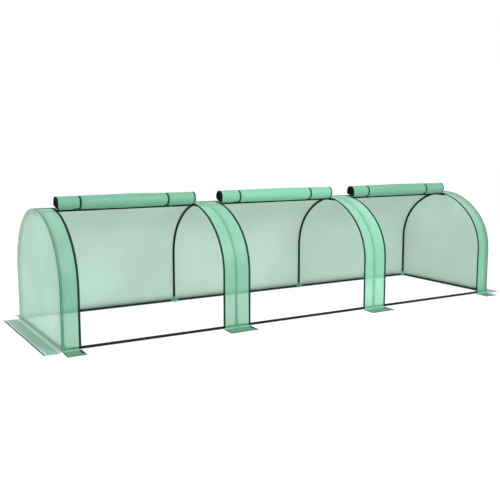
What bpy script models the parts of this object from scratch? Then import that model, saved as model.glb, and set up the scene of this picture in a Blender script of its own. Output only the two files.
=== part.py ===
"""Tunnel greenhouse: steel hoops on ground bars under a sewn green cover with roll-up doors.

Metres, +Z up. The origin is on the ground at the middle of the tunnel, +X runs along the tunnel and
-Y is the side with the doors. The doors are rolled up and tied at the ridge.
"""

from math import acos, asin, atan2, ceil, cos, pi, radians, sin, sqrt, tan
from typing import NamedTuple

import bmesh
import bpy

# Overall sizes, over the outside of the cover
LENGTH = 3.500
WIDTH = 1.000
HEIGHT = 0.800
BAYS = 3

# Shape of a hoop: straight legs, a bend at each shoulder and a flatter crown
SHOULDER_Z = 0.363
SHOULDER_TURN = radians(43.2)

# Tubes and the moulded connectors
TUBE_D = 0.016
TUBE_WALL = 0.0008
PLUG_LENGTH = 0.030
PLUG_TAPER = 0.004
RIDGE_D = 0.012
CONNECTOR_WALL = 0.0022
SLEEVE_STEP = 0.0004
ARM_LENGTH = 0.030
CLIP_WALL = 0.0025
CLIP_LENGTH = 0.016
CLIP_RISE = 0.004

# Cover sheet, ground skirts and front bands
SHEET = 0.001
SKIRT = 0.110
BAND_WIDTH = 0.206
END_BAND_WIDTH = 0.118

# Zips and their sliders
ZIP_WIDTH = 0.015
TEETH_WIDTH = 0.004
TEETH_RISE = 0.001
ZIP_FOOT = 0.004
SLIDER_LENGTH = 0.022
SLIDER_WALL = 0.0015
SLIDER_PLAY = 0.0012
SLIDER_ANGLE = radians(3.0)
PULL_LENGTH = 0.028
PULL_WIDTH = 0.008

# Rolled doors and their ties
ROLL_D = 0.088
ROLL_CORE_D = 0.020
ROLL_ANGLE = radians(7.1)
ROLL_SINK = 0.008
ROLL_END_GAP = 0.005
TIE_WIDTH = 0.013
TIE_THICK = 0.001
TIE_INSET_LEFT = 0.143
TIE_INSET_RIGHT = 0.195
KNOT_WIDTH = 0.020
KNOT_THICK = 0.007
KNOT_ANGLE = radians(238)
TIE_RETURN = (0.9, 0.5, 0.0)

# Clearance between pieces that touch
GAP = 0.0003

# The angle above which an edge is drawn sharp
SHARP = radians(35)

# Facets
TUBE_ROUNDNESS = 3
TUBE_SIDES = 4 + 2 * TUBE_ROUNDNESS
SOCKET_SIDES = 12
TUBE_CROWN_STEPS = 6
TUBE_SHOULDER_STEPS = 5
CROWN_STEPS = 10
SHOULDER_STEPS = 6
ROLL_STEPS = 16
TIE_STEPS = 14

# Sizes that follow
TUBE_R = TUBE_D / 2
RIDGE_R = RIDGE_D / 2
ROLL_R = ROLL_D / 2
CONNECTOR_R = TUBE_R + GAP + CONNECTOR_WALL
SEAT = CONNECTOR_R + GAP
COVER_IN = CONNECTOR_R + GAP
COVER_OUT = COVER_IN + SHEET
COVER_MID = COVER_IN + SHEET / 2
HOOP_Y = WIDTH / 2 - COVER_OUT
HOOP_Z = HEIGHT - COVER_OUT
HOOP_X = LENGTH / 2 - COVER_OUT
BASE_Z = CONNECTOR_R

# The arcs meet at one tangent, so the width and height of the hoop fix both radii
CROWN_TURN = pi / 2 - SHOULDER_TURN
BLEND = tan(CROWN_TURN / 2)
SHOULDER_R = (HOOP_Z - SHOULDER_Z - HOOP_Y * BLEND) / (1 - BLEND)
SHOULDER_Y = HOOP_Y - SHOULDER_R
CROWN_R = SHOULDER_R + SHOULDER_Y / cos(SHOULDER_TURN)
CROWN_Z = HOOP_Z - CROWN_R
RIDGE_Z = HOOP_Z - TUBE_R - GAP - RIDGE_R

# The rolled door lies in front of the ridge, and sinks a little way into the doorway
ROLL_REACH = CROWN_R + COVER_OUT + ROLL_R - ROLL_SINK
RIDGE_IN_Z = CROWN_Z + CROWN_R + COVER_IN

STEEL = ((0.030, 0.034, 0.032), 0.45, 0.6)
CONNECTOR = ((0.085, 0.330, 0.205), 0.45, 0.0)
FILM = ((0.360, 0.680, 0.500), 0.50, 0.0)
DOOR_FILM = ((0.240, 0.560, 0.370), 0.50, 0.0)
ZIP = ((0.022, 0.060, 0.042), 0.60, 0.0)
SLIDER = ((0.015, 0.030, 0.024), 0.40, 0.3)
TIE = ((0.014, 0.090, 0.050), 0.80, 0.0)


class Station(NamedTuple):
    """A place on the hoop's outline, from which pieces are offset outwards."""

    centre: tuple
    out: tuple
    reach: float

    def at(self, offset):
        """The point (y, z) at this offset outside the hoop's centre line."""
        reach = self.reach + offset
        return self.centre[0] + self.out[0] * reach, self.centre[1] + self.out[1] * reach


def crown_station(turn):
    """The station on the crown, this angle from the top towards the back."""
    return Station((0.0, CROWN_Z), (sin(turn), cos(turn)), CROWN_R)


def shoulder_station(turn):
    """The station on the shoulder's bend, this angle from the vertical."""
    return Station((SHOULDER_Y, SHOULDER_Z), (sin(turn), cos(turn)), SHOULDER_R)


def leg_station(z):
    """The station on the straight leg at this height."""
    return Station((SHOULDER_Y, z), (1.0, 0.0), SHOULDER_R)


def half_arch(first, foot, crown_steps=CROWN_STEPS, shoulder_steps=SHOULDER_STEPS):
    """Stations down the back half, from the crown angle first to the height foot."""
    step = CROWN_TURN / crown_steps
    crown = [first] + [i * step for i in range(1, crown_steps + 1) if i * step > first + step / 4]
    bend = [CROWN_TURN + SHOULDER_TURN * i / shoulder_steps for i in range(1, shoulder_steps + 1)]
    stations = [crown_station(turn) for turn in crown] + [shoulder_station(turn) for turn in bend]
    return stations + [leg_station(foot)]


def front(points):
    """The same outline on the front side."""
    return [(-y, z) for y, z in points]


def hoop_xs():
    """The X of each hoop."""
    return [HOOP_X * (2 * i / BAYS - 1) for i in range(BAYS + 1)]


def door_span(bay):
    """The X of the left and right edge of a door opening, between its two zips."""
    xs = hoop_xs()
    inset = LENGTH / 2 - END_BAND_WIDTH
    left = -inset if bay == 0 else xs[bay] + BAND_WIDTH / 2
    right = inset if bay == BAYS - 1 else xs[bay + 1] - BAND_WIDTH / 2
    return left, right


def roll_span(bay):
    """The X of the two ends of a rolled door."""
    left, right = door_span(bay)
    return left + ROLL_END_GAP, right - ROLL_END_GAP


def clear_scene():
    """Removes the startup scene's objects."""
    for obj in list(bpy.data.objects):
        bpy.data.objects.remove(obj, do_unlink=True)


def make_material(name, finish):
    """A Principled material from (colour, roughness, metallic)."""
    colour, roughness, metallic = finish
    material = bpy.data.materials.new(name + "_finish")
    material.use_nodes = True
    shader = material.node_tree.nodes["Principled BSDF"]
    shader.inputs["Base Color"].default_value = (*colour, 1.0)
    shader.inputs["Roughness"].default_value = roughness
    shader.inputs["Metallic"].default_value = metallic
    return material


def add_object(name, data, finish, location=(0.0, 0.0, 0.0), turn=0.0):
    """Links an object with its own material, turned about X."""
    obj = bpy.data.objects.new(name, data)
    bpy.context.scene.collection.objects.link(obj)
    obj.location = location
    obj.rotation_euler = (turn, 0.0, 0.0)
    data.materials.append(make_material(name, finish))
    return obj


def add_solidify(obj, thickness, offset):
    """Gives a drawn surface its thickness."""
    wall = obj.modifiers.new("thickness", "SOLIDIFY")
    wall.thickness = thickness
    wall.offset = offset
    wall.use_even_offset = True
    return wall


def tube(name, path, diameter, location=(0.0, 0.0, 0.0), scales=None):
    """An open steel tube along the points of path, with its wall inside the diameter."""
    curve = bpy.data.curves.new(name, "CURVE")
    curve.dimensions = "3D"
    curve.bevel_depth = diameter / 2
    curve.bevel_resolution = TUBE_ROUNDNESS
    spline = curve.splines.new("POLY")
    spline.points.add(len(path) - 1)
    for point, place, scale in zip(spline.points, path, scales or [1.0] * len(path)):
        point.co = (*place, 1.0)
        point.radius = scale
    spline.use_smooth = True
    obj = add_object(name, curve, STEEL, location)
    add_solidify(obj, TUBE_WALL, -1.0)
    return obj


def mesh_object(name, bm, finish, location=(0.0, 0.0, 0.0), turn=0.0):
    """An object from a bmesh, smooth except at its sharp edges."""
    mesh = bpy.data.meshes.new(name)
    bm.to_mesh(mesh)
    bm.free()
    mesh.shade_smooth()
    mesh.set_sharp_from_angle(angle=SHARP)
    return add_object(name, mesh, finish, location, turn)


def sheet(name, xs, profile, finish, keep=None, location=(0.0, 0.0, 0.0), turn=0.0):
    """A sheet drawn along X from a (y, z) profile of its inner face. keep(column, row) picks its cells."""
    bm = bmesh.new()
    grid = [[bm.verts.new((x, y, z)) for y, z in profile] for x in xs]
    for i in range(len(xs) - 1):
        for j in range(len(profile) - 1):
            if keep is None or keep(i, j):
                bm.faces.new((grid[i][j], grid[i + 1][j], grid[i + 1][j + 1], grid[i][j + 1]))
    bmesh.ops.delete(bm, geom=[v for v in bm.verts if not v.link_faces], context="VERTS")
    obj = mesh_object(name, bm, finish, location, turn)
    add_solidify(obj, SHEET, 1.0)
    return obj


def loft(name, rings, finish, location=(0.0, 0.0, 0.0), turn=0.0):
    """A closed body through rings of equally many points, capped at both ends."""
    bm = bmesh.new()
    loops = [[bm.verts.new(point) for point in ring] for ring in rings]
    sides = len(loops[0])
    for near, far in zip(loops, loops[1:]):
        for i in range(sides):
            j = (i + 1) % sides
            bm.faces.new((near[i], near[j], far[j], far[i]))
    bm.faces.new(list(reversed(loops[0])))
    bm.faces.new(loops[-1])
    bmesh.ops.recalc_face_normals(bm, faces=bm.faces)
    return mesh_object(name, bm, finish, location, turn)


def box_object(name, low, high, finish, location=(0.0, 0.0, 0.0)):
    """A box between two corners given from its location."""
    (x0, y0, z0), (x1, y1, z1) = low, high
    ring = lambda z: [(x0, y0, z), (x1, y0, z), (x1, y1, z), (x0, y1, z)]
    return loft(name, [ring(z0), ring(z1)], finish, location)


def rod_rings(axis, radius, start, end):
    """Two rings of a straight rod along an axis (0 X, 1 Y, 2 Z), for loft."""
    rings = []
    for along in (start, end):
        ring = []
        for i in range(SOCKET_SIDES):
            angle = 2 * pi * (i + 0.5) / SOCKET_SIDES
            across = [radius * cos(angle), radius * sin(angle)]
            across.insert(axis, along)
            ring.append(tuple(across))
        rings.append(ring)
    return rings


def helper(obj):
    """Marks a body that only adds to or cuts another."""
    obj.hide_render = True
    obj.display_type = "WIRE"
    return obj


def combine(obj, other, operation):
    """Joins or cuts obj with a helper body."""
    boolean = obj.modifiers.new(operation.lower(), "BOOLEAN")
    boolean.operation = operation
    boolean.object = helper(other)
    boolean.solver = "EXACT"


def connector(name, location, arms):
    """A moulded connector: a block with a socket along each arm (axis, sign), each for one tube."""
    half = CONNECTOR_R
    obj = box_object(name, (-half,) * 3, (half,) * 3, CONNECTOR, location)
    bore_r = (TUBE_R + GAP) / cos(pi / SOCKET_SIDES)
    for number, (axis, sign) in enumerate(arms, 1):
        sleeve = rod_rings(axis, half - SLEEVE_STEP, 0.0, sign * ARM_LENGTH)
        combine(obj, loft(f"{name}_sleeve_{number}", sleeve, CONNECTOR, location), "UNION")
    for number, (axis, sign) in enumerate(arms, 1):
        bore = rod_rings(axis, bore_r, sign * half, sign * (ARM_LENGTH + half))
        combine(obj, loft(f"{name}_bore_{number}", bore, CONNECTOR, location), "DIFFERENCE")
    return obj


def build_connectors():
    """Corner and tee connectors on the ground, one at the foot of each half hoop."""
    xs = hoop_xs()
    for side, y, inwards in (("front", -HOOP_Y, 1), ("back", HOOP_Y, -1)):
        connector(f"corner_{side}_left", (xs[0], y, BASE_Z), [(0, 1), (1, inwards), (2, 1)])
        connector(f"corner_{side}_right", (xs[-1], y, BASE_Z), [(0, -1), (1, inwards), (2, 1)])
        for number, x in enumerate(xs[1:-1], 1):
            connector(f"tee_{side}_{number}", (x, y, BASE_Z), [(0, 1), (0, -1), (2, 1)])


def build_hoops():
    """Half hoops, the front one with a reduced end that plugs into the back one at the crown."""
    stations = half_arch(0.0, BASE_Z + SEAT, TUBE_CROWN_STEPS, TUBE_SHOULDER_STEPS)
    centre_line = [station.at(0.0) for station in stations]
    top, after = centre_line[0], centre_line[1]
    run_y, run_z = after[0] - top[0], after[1] - top[1]
    facet = sqrt(run_y ** 2 + run_z ** 2)
    along = lambda length: (top[0] + run_y * length / facet, top[1] + run_z * length / facet)
    flat = cos(pi / TUBE_SIDES)
    plug_scale = (TUBE_R * flat - TUBE_WALL - GAP) / flat / TUBE_R
    back = [along(GAP)] + centre_line[1:]
    rest = front([along(PLUG_TAPER)] + centre_line[1:])
    plug = [along(PLUG_LENGTH), top]
    scales = [plug_scale] * len(plug) + [1.0] * len(rest)
    for number, x in enumerate(hoop_xs(), 1):
        place = (x, 0.0, 0.0)
        tube(f"hoop_{number}_back", [(0.0, y, z) for y, z in back], TUBE_D, place)
        tube(f"hoop_{number}_front", [(0.0, y, z) for y, z in plug + rest], TUBE_D, place, scales)


def build_bars():
    """Ground bars between the connectors and ridge bars between the clips."""
    xs = hoop_xs()
    for bay in range(BAYS):
        left, right = xs[bay], xs[bay + 1]
        run = right - left - 2 * SEAT
        for side, y in (("front", -HOOP_Y), ("back", HOOP_Y)):
            place = (left + SEAT, y, BASE_Z)
            tube(f"{side}_bar_{bay + 1}", [(0.0, 0.0, 0.0), (run, 0.0, 0.0)], TUBE_D, place)
        start = left + GAP if bay else left - CLIP_LENGTH / 2
        end = right - GAP if bay < BAYS - 1 else right + CLIP_LENGTH / 2
        path = [(0.0, 0.0, 0.0), (end - start, 0.0, 0.0)]
        tube(f"ridge_bar_{bay + 1}", path, RIDGE_D, (start, 0.0, RIDGE_Z))
    for side, x in (("left", xs[0]), ("right", xs[-1])):
        path = [(0.0, 0.0, 0.0), (0.0, 2 * (HOOP_Y - SEAT), 0.0)]
        tube(f"end_bar_{side}", path, TUBE_D, (x, SEAT - HOOP_Y, BASE_Z))


def build_clips():
    """Ridge clips: each cradles a hoop's crown from below and holds the ridge bar in a bore under it."""
    fall = CLIP_LENGTH / 2 * tan(CROWN_TURN / TUBE_CROWN_STEPS / 2)
    hoop_bore = (TUBE_R + GAP + fall) / cos(pi / SOCKET_SIDES)
    bar_bore = (RIDGE_R + GAP) / cos(pi / SOCKET_SIDES)
    half_x = CONNECTOR_R
    half_y = CLIP_LENGTH / 2
    low = RIDGE_Z - HOOP_Z - bar_bore - CLIP_WALL
    reach = half_x + half_y
    hoop_rings = rod_rings(1, hoop_bore, -reach, reach)
    bar_rings = rod_rings(0, bar_bore, -reach, reach)
    for number, x in enumerate(hoop_xs(), 1):
        name = f"ridge_clip_{number}"
        place = (x, 0.0, HOOP_Z)
        corners = (-half_x, -half_y, low), (half_x, half_y, CLIP_RISE)
        clip = box_object(name, *corners, CONNECTOR, place)
        combine(clip, loft(name + "_cradle", hoop_rings, CONNECTOR, place), "DIFFERENCE")
        combine(clip, loft(name + "_bore", bar_rings, CONNECTOR, (x, 0.0, RIDGE_Z)), "DIFFERENCE")


def roll_centre():
    """The middle of a rolled door in Y and Z."""
    return -ROLL_REACH * sin(ROLL_ANGLE), CROWN_Z + ROLL_REACH * cos(ROLL_ANGLE)


def lip_line():
    """The slope and length of a door's top edge, which runs straight from the ridge until it is under the roll."""
    cy, cz = roll_centre()
    up = cz - RIDGE_IN_Z
    far = sqrt(cy ** 2 + up ** 2)
    clear = ROLL_R + GAP + SHEET
    return asin(clear / far) - atan2(up, -cy), sqrt(far ** 2 - clear ** 2)


def lip_slope():
    """How steeply a door's top edge falls from the ridge."""
    return lip_line()[0]


def lip_length():
    """The length of a door's top edge."""
    return lip_line()[1]


def under_lip(away, below=0.0):
    """The point (y, z) this far from the ridge along the inner face of a door's top edge, and this far below it."""
    slope = lip_slope()
    return below * sin(slope) - away * cos(slope), RIDGE_IN_Z - away * sin(slope) - below * cos(slope)


def build_roof_and_back():
    """The sheet from the ridge down the back, with its skirt, and the top edge of each door in front."""
    lip = [under_lip(lip_length())]
    wall = [station.at(COVER_IN) for station in half_arch(0.0, 0.0)]
    skirt = (WIDTH / 2 + SKIRT, 0.0)
    edge = LENGTH / 2 - SHEET - GAP
    doors = [x for bay in range(BAYS) for x in roll_span(bay)]
    keep = lambda column, row: row > 0 or column % 2 == 1
    sheet("roof_back_panel", [-edge] + doors + [edge], lip + wall + [skirt], FILM, keep)


def build_end_panels():
    """Flat end panels, each folded out along the ground as a skirt."""
    half = [station.at(COVER_OUT) for station in half_arch(0.0, 0.0)]
    outline = front(half)[::-1] + half[1:]
    for side, sign in (("left", -1), ("right", 1)):
        inner = sign * (LENGTH / 2 - SHEET)
        outer = sign * (LENGTH / 2 + SKIRT)
        bm = bmesh.new()
        ring = [bm.verts.new((inner, y, z)) for y, z in outline]
        ends = [bm.verts.new((outer, y, 0.0)) for y in (outline[0][0], outline[-1][0])]
        panel = ring if sign < 0 else ring[::-1]
        flap = [ring[0], ring[-1], ends[1], ends[0]]
        bm.faces.new(panel)
        bm.faces.new(flap if sign < 0 else flap[::-1])
        add_solidify(mesh_object(f"end_panel_{side}", bm, FILM), SHEET, 1.0)


def build_front_bands():
    """The four bands over the front of the hoops, each with its flap on the ground."""
    wall = front([station.at(COVER_IN) for station in half_arch(GAP / CROWN_R, 0.0)])
    flap = (-WIDTH / 2 - SKIRT, 0.0)
    profile = [flap] + wall[::-1]
    edge = LENGTH / 2 - SHEET - GAP
    for number in range(1, BAYS + 2):
        left = -edge if number == 1 else door_span(number - 2)[1]
        right = edge if number == BAYS + 1 else door_span(number - 1)[0]
        xs = [left, right]
        if number > 1:
            xs.insert(1, left + ZIP_WIDTH + GAP)
        if number <= BAYS:
            xs.insert(-1, right - ZIP_WIDTH - GAP)
        between_zips = 1 if number > 1 else 0
        keep = lambda column, row: row == 0 or column == between_zips
        sheet(f"front_band_{number}", xs, profile, FILM, keep)


def build_zips():
    """The half of each zip that stays on the band: a woven tape with its teeth along the free edge."""
    stations = half_arch(2 * GAP / CROWN_R, ZIP_FOOT)
    low, high = -SHEET / 2, SHEET / 2
    for bay in range(BAYS):
        for side, edge, inwards in zip(("left", "right"), door_span(bay), (-1, 1)):
            tape = edge + inwards * ZIP_WIDTH
            teeth = edge + inwards * TEETH_WIDTH
            section = [(tape, low), (teeth, low), (teeth, low - TEETH_RISE),
                       (edge, low - TEETH_RISE), (edge, high + TEETH_RISE),
                       (teeth, high + TEETH_RISE), (teeth, high), (tape, high)]
            rings = []
            for station in stations:
                places = [station.at(COVER_MID + rise) for _, rise in section]
                rings.append([(x, -y, z) for (x, _), (y, z) in zip(section, places)])
            loft(f"zip_{bay + 1}_{side}", rings, ZIP)


def build_sliders():
    """Zip sliders, each a channel round the teeth with its pull tab, on the axis of the crown's arc."""
    inner = SHEET / 2 + TEETH_RISE + SLIDER_PLAY
    outer = inner + SLIDER_WALL
    half = SLIDER_LENGTH / 2
    middle = CROWN_R + COVER_MID
    for bay in range(BAYS):
        for side, edge, inwards in zip(("left", "right"), door_span(bay), (-1, 1)):
            name = f"zip_slider_{bay + 1}_{side}"
            mouth = inwards * (TEETH_WIDTH + SLIDER_PLAY)
            floor = -inwards * SLIDER_PLAY
            back = -inwards * (SLIDER_PLAY + SLIDER_WALL)
            section = [(mouth, -outer), (back, -outer), (back, outer), (mouth, outer),
                       (mouth, inner), (floor, inner), (floor, -inner), (mouth, -inner)]
            rings = [[(x, y, middle + rise) for x, rise in section] for y in (-half, half)]
            place = (edge, 0.0, CROWN_Z)
            slider = loft(name, rings, SLIDER, place, SLIDER_ANGLE)
            x0 = (mouth + back - PULL_WIDTH) / 2
            x1 = x0 + PULL_WIDTH
            z0 = middle + outer - SLIDER_WALL / 2
            z1 = z0 + SLIDER_WALL
            pull = [[(x0, y, z0), (x1, y, z0), (x1, y, z1), (x0, y, z1)] for y in (-half - PULL_LENGTH, 0.0)]
            combine(slider, loft(name + "_pull", pull, SLIDER, place, SLIDER_ANGLE), "UNION")


def door_length():
    """The door's length from the ridge seam down the front to the ground."""
    return CROWN_R * CROWN_TURN + SHOULDER_R * SHOULDER_TURN + SHOULDER_Z


def roll_turns():
    """How many turns the door's length fills between the roll's core and its outside."""
    return (door_length() - lip_length()) / (pi * (ROLL_CORE_D / 2 + ROLL_R - SHEET))


def roll_radius(wound):
    """The radius of the rolled sheet's inner face, this angle along it from its outer end."""
    skin = ROLL_R - SHEET
    return skin + (ROLL_CORE_D / 2 - skin) * wound / (2 * pi * roll_turns())


def build_door_rolls():
    """Rolled doors, each wound inwards from the end of its top edge."""
    cy, cz = roll_centre()
    steps = ceil(roll_turns() * ROLL_STEPS)
    profile = []
    for i in range(steps + 1):
        wound = 2 * pi * roll_turns() * i / steps
        radius, angle = roll_radius(wound), lip_slope() - wound
        profile.append((cy + radius * sin(angle), cz - radius * cos(angle)))
    print(f"door roll: {roll_turns():.2f} turns, least gap {1000 * least_gap(profile):.2f} mm")
    for bay in range(BAYS):
        left, right = roll_span(bay)
        sheet(f"door_roll_{bay + 1}", [left, right], profile, DOOR_FILM)


def least_gap(profile):
    """The least clear gap between the sheet's neighbouring turns, measured on its points."""
    apart = range(ROLL_STEPS // 2, ROLL_STEPS * 3 // 2)
    found = min(sqrt((a[0] - b[0]) ** 2 + (a[1] - b[1]) ** 2)
                for step in apart for a, b in zip(profile, profile[step:]))
    return found - SHEET


def tie_radius(angle):
    """The radius of a tie's inner face round the rolled door, at this angle from +Y towards +Z."""
    skin = roll_radius(3 * pi / 2 - angle + lip_slope()) + SHEET
    return (skin + GAP) / cos(KNOT_ANGLE / TIE_STEPS / 2)


def tie_path():
    """(point, outward direction, width, thickness) along a tie.

    It runs from the ridge seam over the roll to the knot under its front, and back to the seam under the
    door's top edge.
    """
    cy, cz = roll_centre()
    start_y, start_z = crown_station(-2 * GAP / CROWN_R).at(COVER_OUT + GAP)
    across, up = start_y - cy, start_z - cz
    tangent = atan2(up, across) + acos(tie_radius(0.0) / sqrt(across ** 2 + up ** 2))
    stops = [tangent + (KNOT_ANGLE - tangent) * i / TIE_STEPS for i in range(TIE_STEPS + 1)]
    path = [((start_y, start_z), (cos(tangent), sin(tangent)), TIE_WIDTH, TIE_THICK)]
    for i, angle in enumerate(stops):
        last = i == TIE_STEPS
        size = (KNOT_WIDTH, KNOT_THICK) if last else (TIE_WIDTH, TIE_THICK)
        radius = tie_radius(angle)
        out_y, out_z = cos(angle), sin(angle)
        path.append(((cy + radius * out_y, cz + radius * out_z), (out_y, out_z), *size))
    slope = lip_slope()
    knot_away = -path[-1][0][0] / cos(slope)
    for share in TIE_RETURN:
        point = under_lip(share * knot_away + 2 * GAP, GAP)
        path.append((point, (sin(slope), -cos(slope)), TIE_WIDTH, TIE_THICK))
    return path


def build_ties():
    """Two ties round each rolled door."""
    path = tie_path()
    for bay in range(BAYS):
        left, right = roll_span(bay)
        for side, x in (("left", left + TIE_INSET_LEFT), ("right", right - TIE_INSET_RIGHT)):
            rings = []
            for (y, z), (out_y, out_z), width, thick in path:
                far_y, far_z = y + out_y * thick, z + out_z * thick
                half = width / 2
                rings.append([(-half, y, z), (half, y, z), (half, far_y, far_z), (-half, far_y, far_z)])
            loft(f"door_tie_{bay + 1}_{side}", rings, TIE, (x, 0.0, 0.0))


def main():
    """Builds every piece."""
    clear_scene()
    build_hoops()
    build_bars()
    build_connectors()
    build_clips()
    build_roof_and_back()
    build_end_panels()
    build_front_bands()
    build_zips()
    build_sliders()
    build_door_rolls()
    build_ties()


main()
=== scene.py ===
"""Looks of a tunnel greenhouse: a sewn green cover with zipped roll-up doors over a steel hoop frame.

Metres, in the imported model's frame: +X along the tunnel, -Y the side with the doors, +Z up.
"""

import logging
from collections.abc import Callable, Sequence
from dataclasses import dataclass, field, replace
from enum import Enum
from math import asin, atan2, cos, hypot, pi, radians, sin, sqrt, tan
from typing import Any

import bmesh
import bpy
import numpy as np
from mathutils import Euler, Matrix, Vector


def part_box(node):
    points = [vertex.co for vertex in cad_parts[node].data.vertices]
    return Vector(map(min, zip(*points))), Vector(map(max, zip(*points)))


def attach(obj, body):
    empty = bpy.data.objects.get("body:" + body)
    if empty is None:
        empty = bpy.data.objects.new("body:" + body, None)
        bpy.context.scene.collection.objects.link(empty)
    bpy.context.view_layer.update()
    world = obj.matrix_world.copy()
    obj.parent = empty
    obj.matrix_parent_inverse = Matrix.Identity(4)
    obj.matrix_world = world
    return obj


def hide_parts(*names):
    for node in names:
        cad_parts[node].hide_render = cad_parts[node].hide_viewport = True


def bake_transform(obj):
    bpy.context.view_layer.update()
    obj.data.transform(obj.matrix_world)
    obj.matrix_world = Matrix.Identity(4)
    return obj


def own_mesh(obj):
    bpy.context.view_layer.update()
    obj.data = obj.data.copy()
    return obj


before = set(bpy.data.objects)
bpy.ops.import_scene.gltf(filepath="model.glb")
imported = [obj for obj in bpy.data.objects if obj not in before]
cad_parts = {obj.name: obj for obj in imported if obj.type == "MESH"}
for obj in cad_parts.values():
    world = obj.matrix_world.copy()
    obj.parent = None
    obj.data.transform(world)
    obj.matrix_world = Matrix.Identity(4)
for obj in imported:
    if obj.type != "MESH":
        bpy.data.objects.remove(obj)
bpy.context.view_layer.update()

LOG = logging.getLogger("greenhouse")
Points = np.ndarray
Colour = tuple[float, float, float]
Socket = bpy.types.NodeSocket
Place = tuple[float, float, float]
Piece = bpy.types.Object
Shape = tuple[Points, Points, Points]
Drape = Callable[[Points, Points], Shape]

ROOT = "frame_and_cover"
CUT = "cut"
BAYS = 3


class Way(Enum):
    """Two opposite directions, each with the sign of its axis there."""

    @property
    def word(self) -> str:
        """The direction's name, as the nodes spell it."""
        return self.name.lower()


class Side(Way):
    """The two ends of the tunnel, or the two edges of a door, with the sign of X there."""

    LEFT = -1
    RIGHT = 1


class Face(Way):
    """The two long sides of the tunnel, with the sign of Y there."""

    FRONT = -1
    BACK = 1


# ---- The outline that every piece follows ----


@dataclass(frozen=True)
class Arch:
    """The hoops' centre line: straight legs, a bend at each shoulder and a flatter crown."""

    half_width: float = 0.4882
    height: float = 0.7882
    shoulder_z: float = 0.363
    shoulder_turn: float = radians(43.2)
    fold: float = 0.005
    ground: float = 0.0007

    @property
    def crown_turn(self) -> float:
        """The angle of half the crown."""
        return pi / 2 - self.shoulder_turn

    @property
    def shoulder_radius(self) -> float:
        """The radius of the bend at a shoulder."""
        lean = tan(self.crown_turn / 2)
        return (self.height - self.shoulder_z - self.half_width * lean) / (1 - lean)

    @property
    def shoulder_y(self) -> float:
        """How far a shoulder's centre is from the middle."""
        return self.half_width - self.shoulder_radius

    @property
    def crown_radius(self) -> float:
        """The radius of the crown."""
        return self.shoulder_radius + self.shoulder_y / cos(self.shoulder_turn)

    @property
    def crown_z(self) -> float:
        """The height of the crown's centre."""
        return self.height - self.crown_radius

    def lengths(self, offset: float) -> tuple[float, float, float, float]:
        """How long each part of half the outline is.

        Args:
            offset: how far outside the centre line the outline runs.

        Returns:
            The lengths of the crown, the shoulder, the leg and the fold at the ground.
        """
        crown = (self.crown_radius + offset) * self.crown_turn
        shoulder = (self.shoulder_radius + offset) * self.shoulder_turn
        return crown, shoulder, self.shoulder_z - self.fold - self.ground, self.fold * pi / 2

    def half_length(self, offset: float) -> float:
        """The length from the ridge to the end of the fold at the ground."""
        return sum(self.lengths(offset))

    def at(self, run: Points, offset: float, rise: Points | float = 0.0) -> tuple[Points, Points]:
        """Places along the outline.

        Args:
            run: distances from the ridge, positive towards the back.
            offset: how far outside the centre line the run is measured.
            rise: how far each place lies outside that.

        Returns:
            Y and Z of each place.
        """
        crown, shoulder, leg, fold = self.lengths(offset)
        side, left = np.sign(run), np.abs(run)
        on_crown = left / (self.crown_radius + offset)
        left = left - crown
        on_shoulder = self.crown_turn + left / (self.shoulder_radius + offset)
        on_leg = left - shoulder
        on_fold = np.clip((on_leg - leg) / self.fold, 0.0, pi / 2)
        past = np.maximum(on_leg - leg - fold, 0.0)
        rc, rs = self.crown_radius + offset + rise, self.shoulder_radius + offset + rise
        foot_y = self.half_width + offset + self.fold
        foot_z = self.ground + self.fold
        choices = [left < 0, on_leg < 0, on_leg < leg]
        y = np.select(
            choices,
            [rc * np.sin(on_crown), self.shoulder_y + rs * np.sin(on_shoulder), self.shoulder_y + rs],
            foot_y + (rise - self.fold) * np.cos(on_fold) + past,
        )
        z = np.select(
            choices,
            [
                self.crown_z + rc * np.cos(on_crown),
                self.shoulder_z + rs * np.cos(on_shoulder),
                self.shoulder_z - on_leg,
            ],
            foot_z + (rise - self.fold) * np.sin(on_fold),
        )
        return side * y, z


@dataclass(frozen=True)
class Plan:
    """Where the pieces stand along the tunnel, and how far outside the hoops' centre line the cover lies."""

    arch: Arch = Arch()
    half_length: float = 1.75
    edge_inset: float = 0.0013
    hoop_reach: float = 1.7382
    skirt: float = 0.110
    band: float = 0.206
    end_band: float = 0.118
    cover: float = 0.0113
    film: float = 0.0008
    tape: float = 0.0007
    zip_foot: float = 0.004

    @property
    def edge(self) -> float:
        """How far the cover's long sheets reach from the middle."""
        return self.half_length - self.edge_inset

    @property
    def zip_length(self) -> float:
        """The length of a zip from the ridge to just above the ground."""
        return self.arch.half_length(self.cover) - self.zip_foot - self.arch.fold

    def hoops(self) -> list[float]:
        """The X of each hoop."""
        return [self.hoop_reach * (2 * i / BAYS - 1) for i in range(BAYS + 1)]

    def door(self, bay: int) -> tuple[float, float]:
        """The edges of a door opening, between its zips.

        Args:
            bay: the door's bay, from 0.

        Returns:
            The X of the left and right edge.
        """
        hoops, reach = self.hoops(), self.half_length - self.end_band
        left = -reach if bay == 0 else hoops[bay] + self.band / 2
        right = reach if bay == BAYS - 1 else hoops[bay + 1] - self.band / 2
        return left, right

    def band_span(self, number: int) -> tuple[float, float]:
        """The edges of a front band.

        Args:
            number: the band's number, from 1 at the left.

        Returns:
            The X of the left and right edge.
        """
        left = -self.edge if number == 1 else self.door(number - 2)[1]
        right = self.edge if number == BAYS + 1 else self.door(number - 1)[0]
        return left, right


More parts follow.
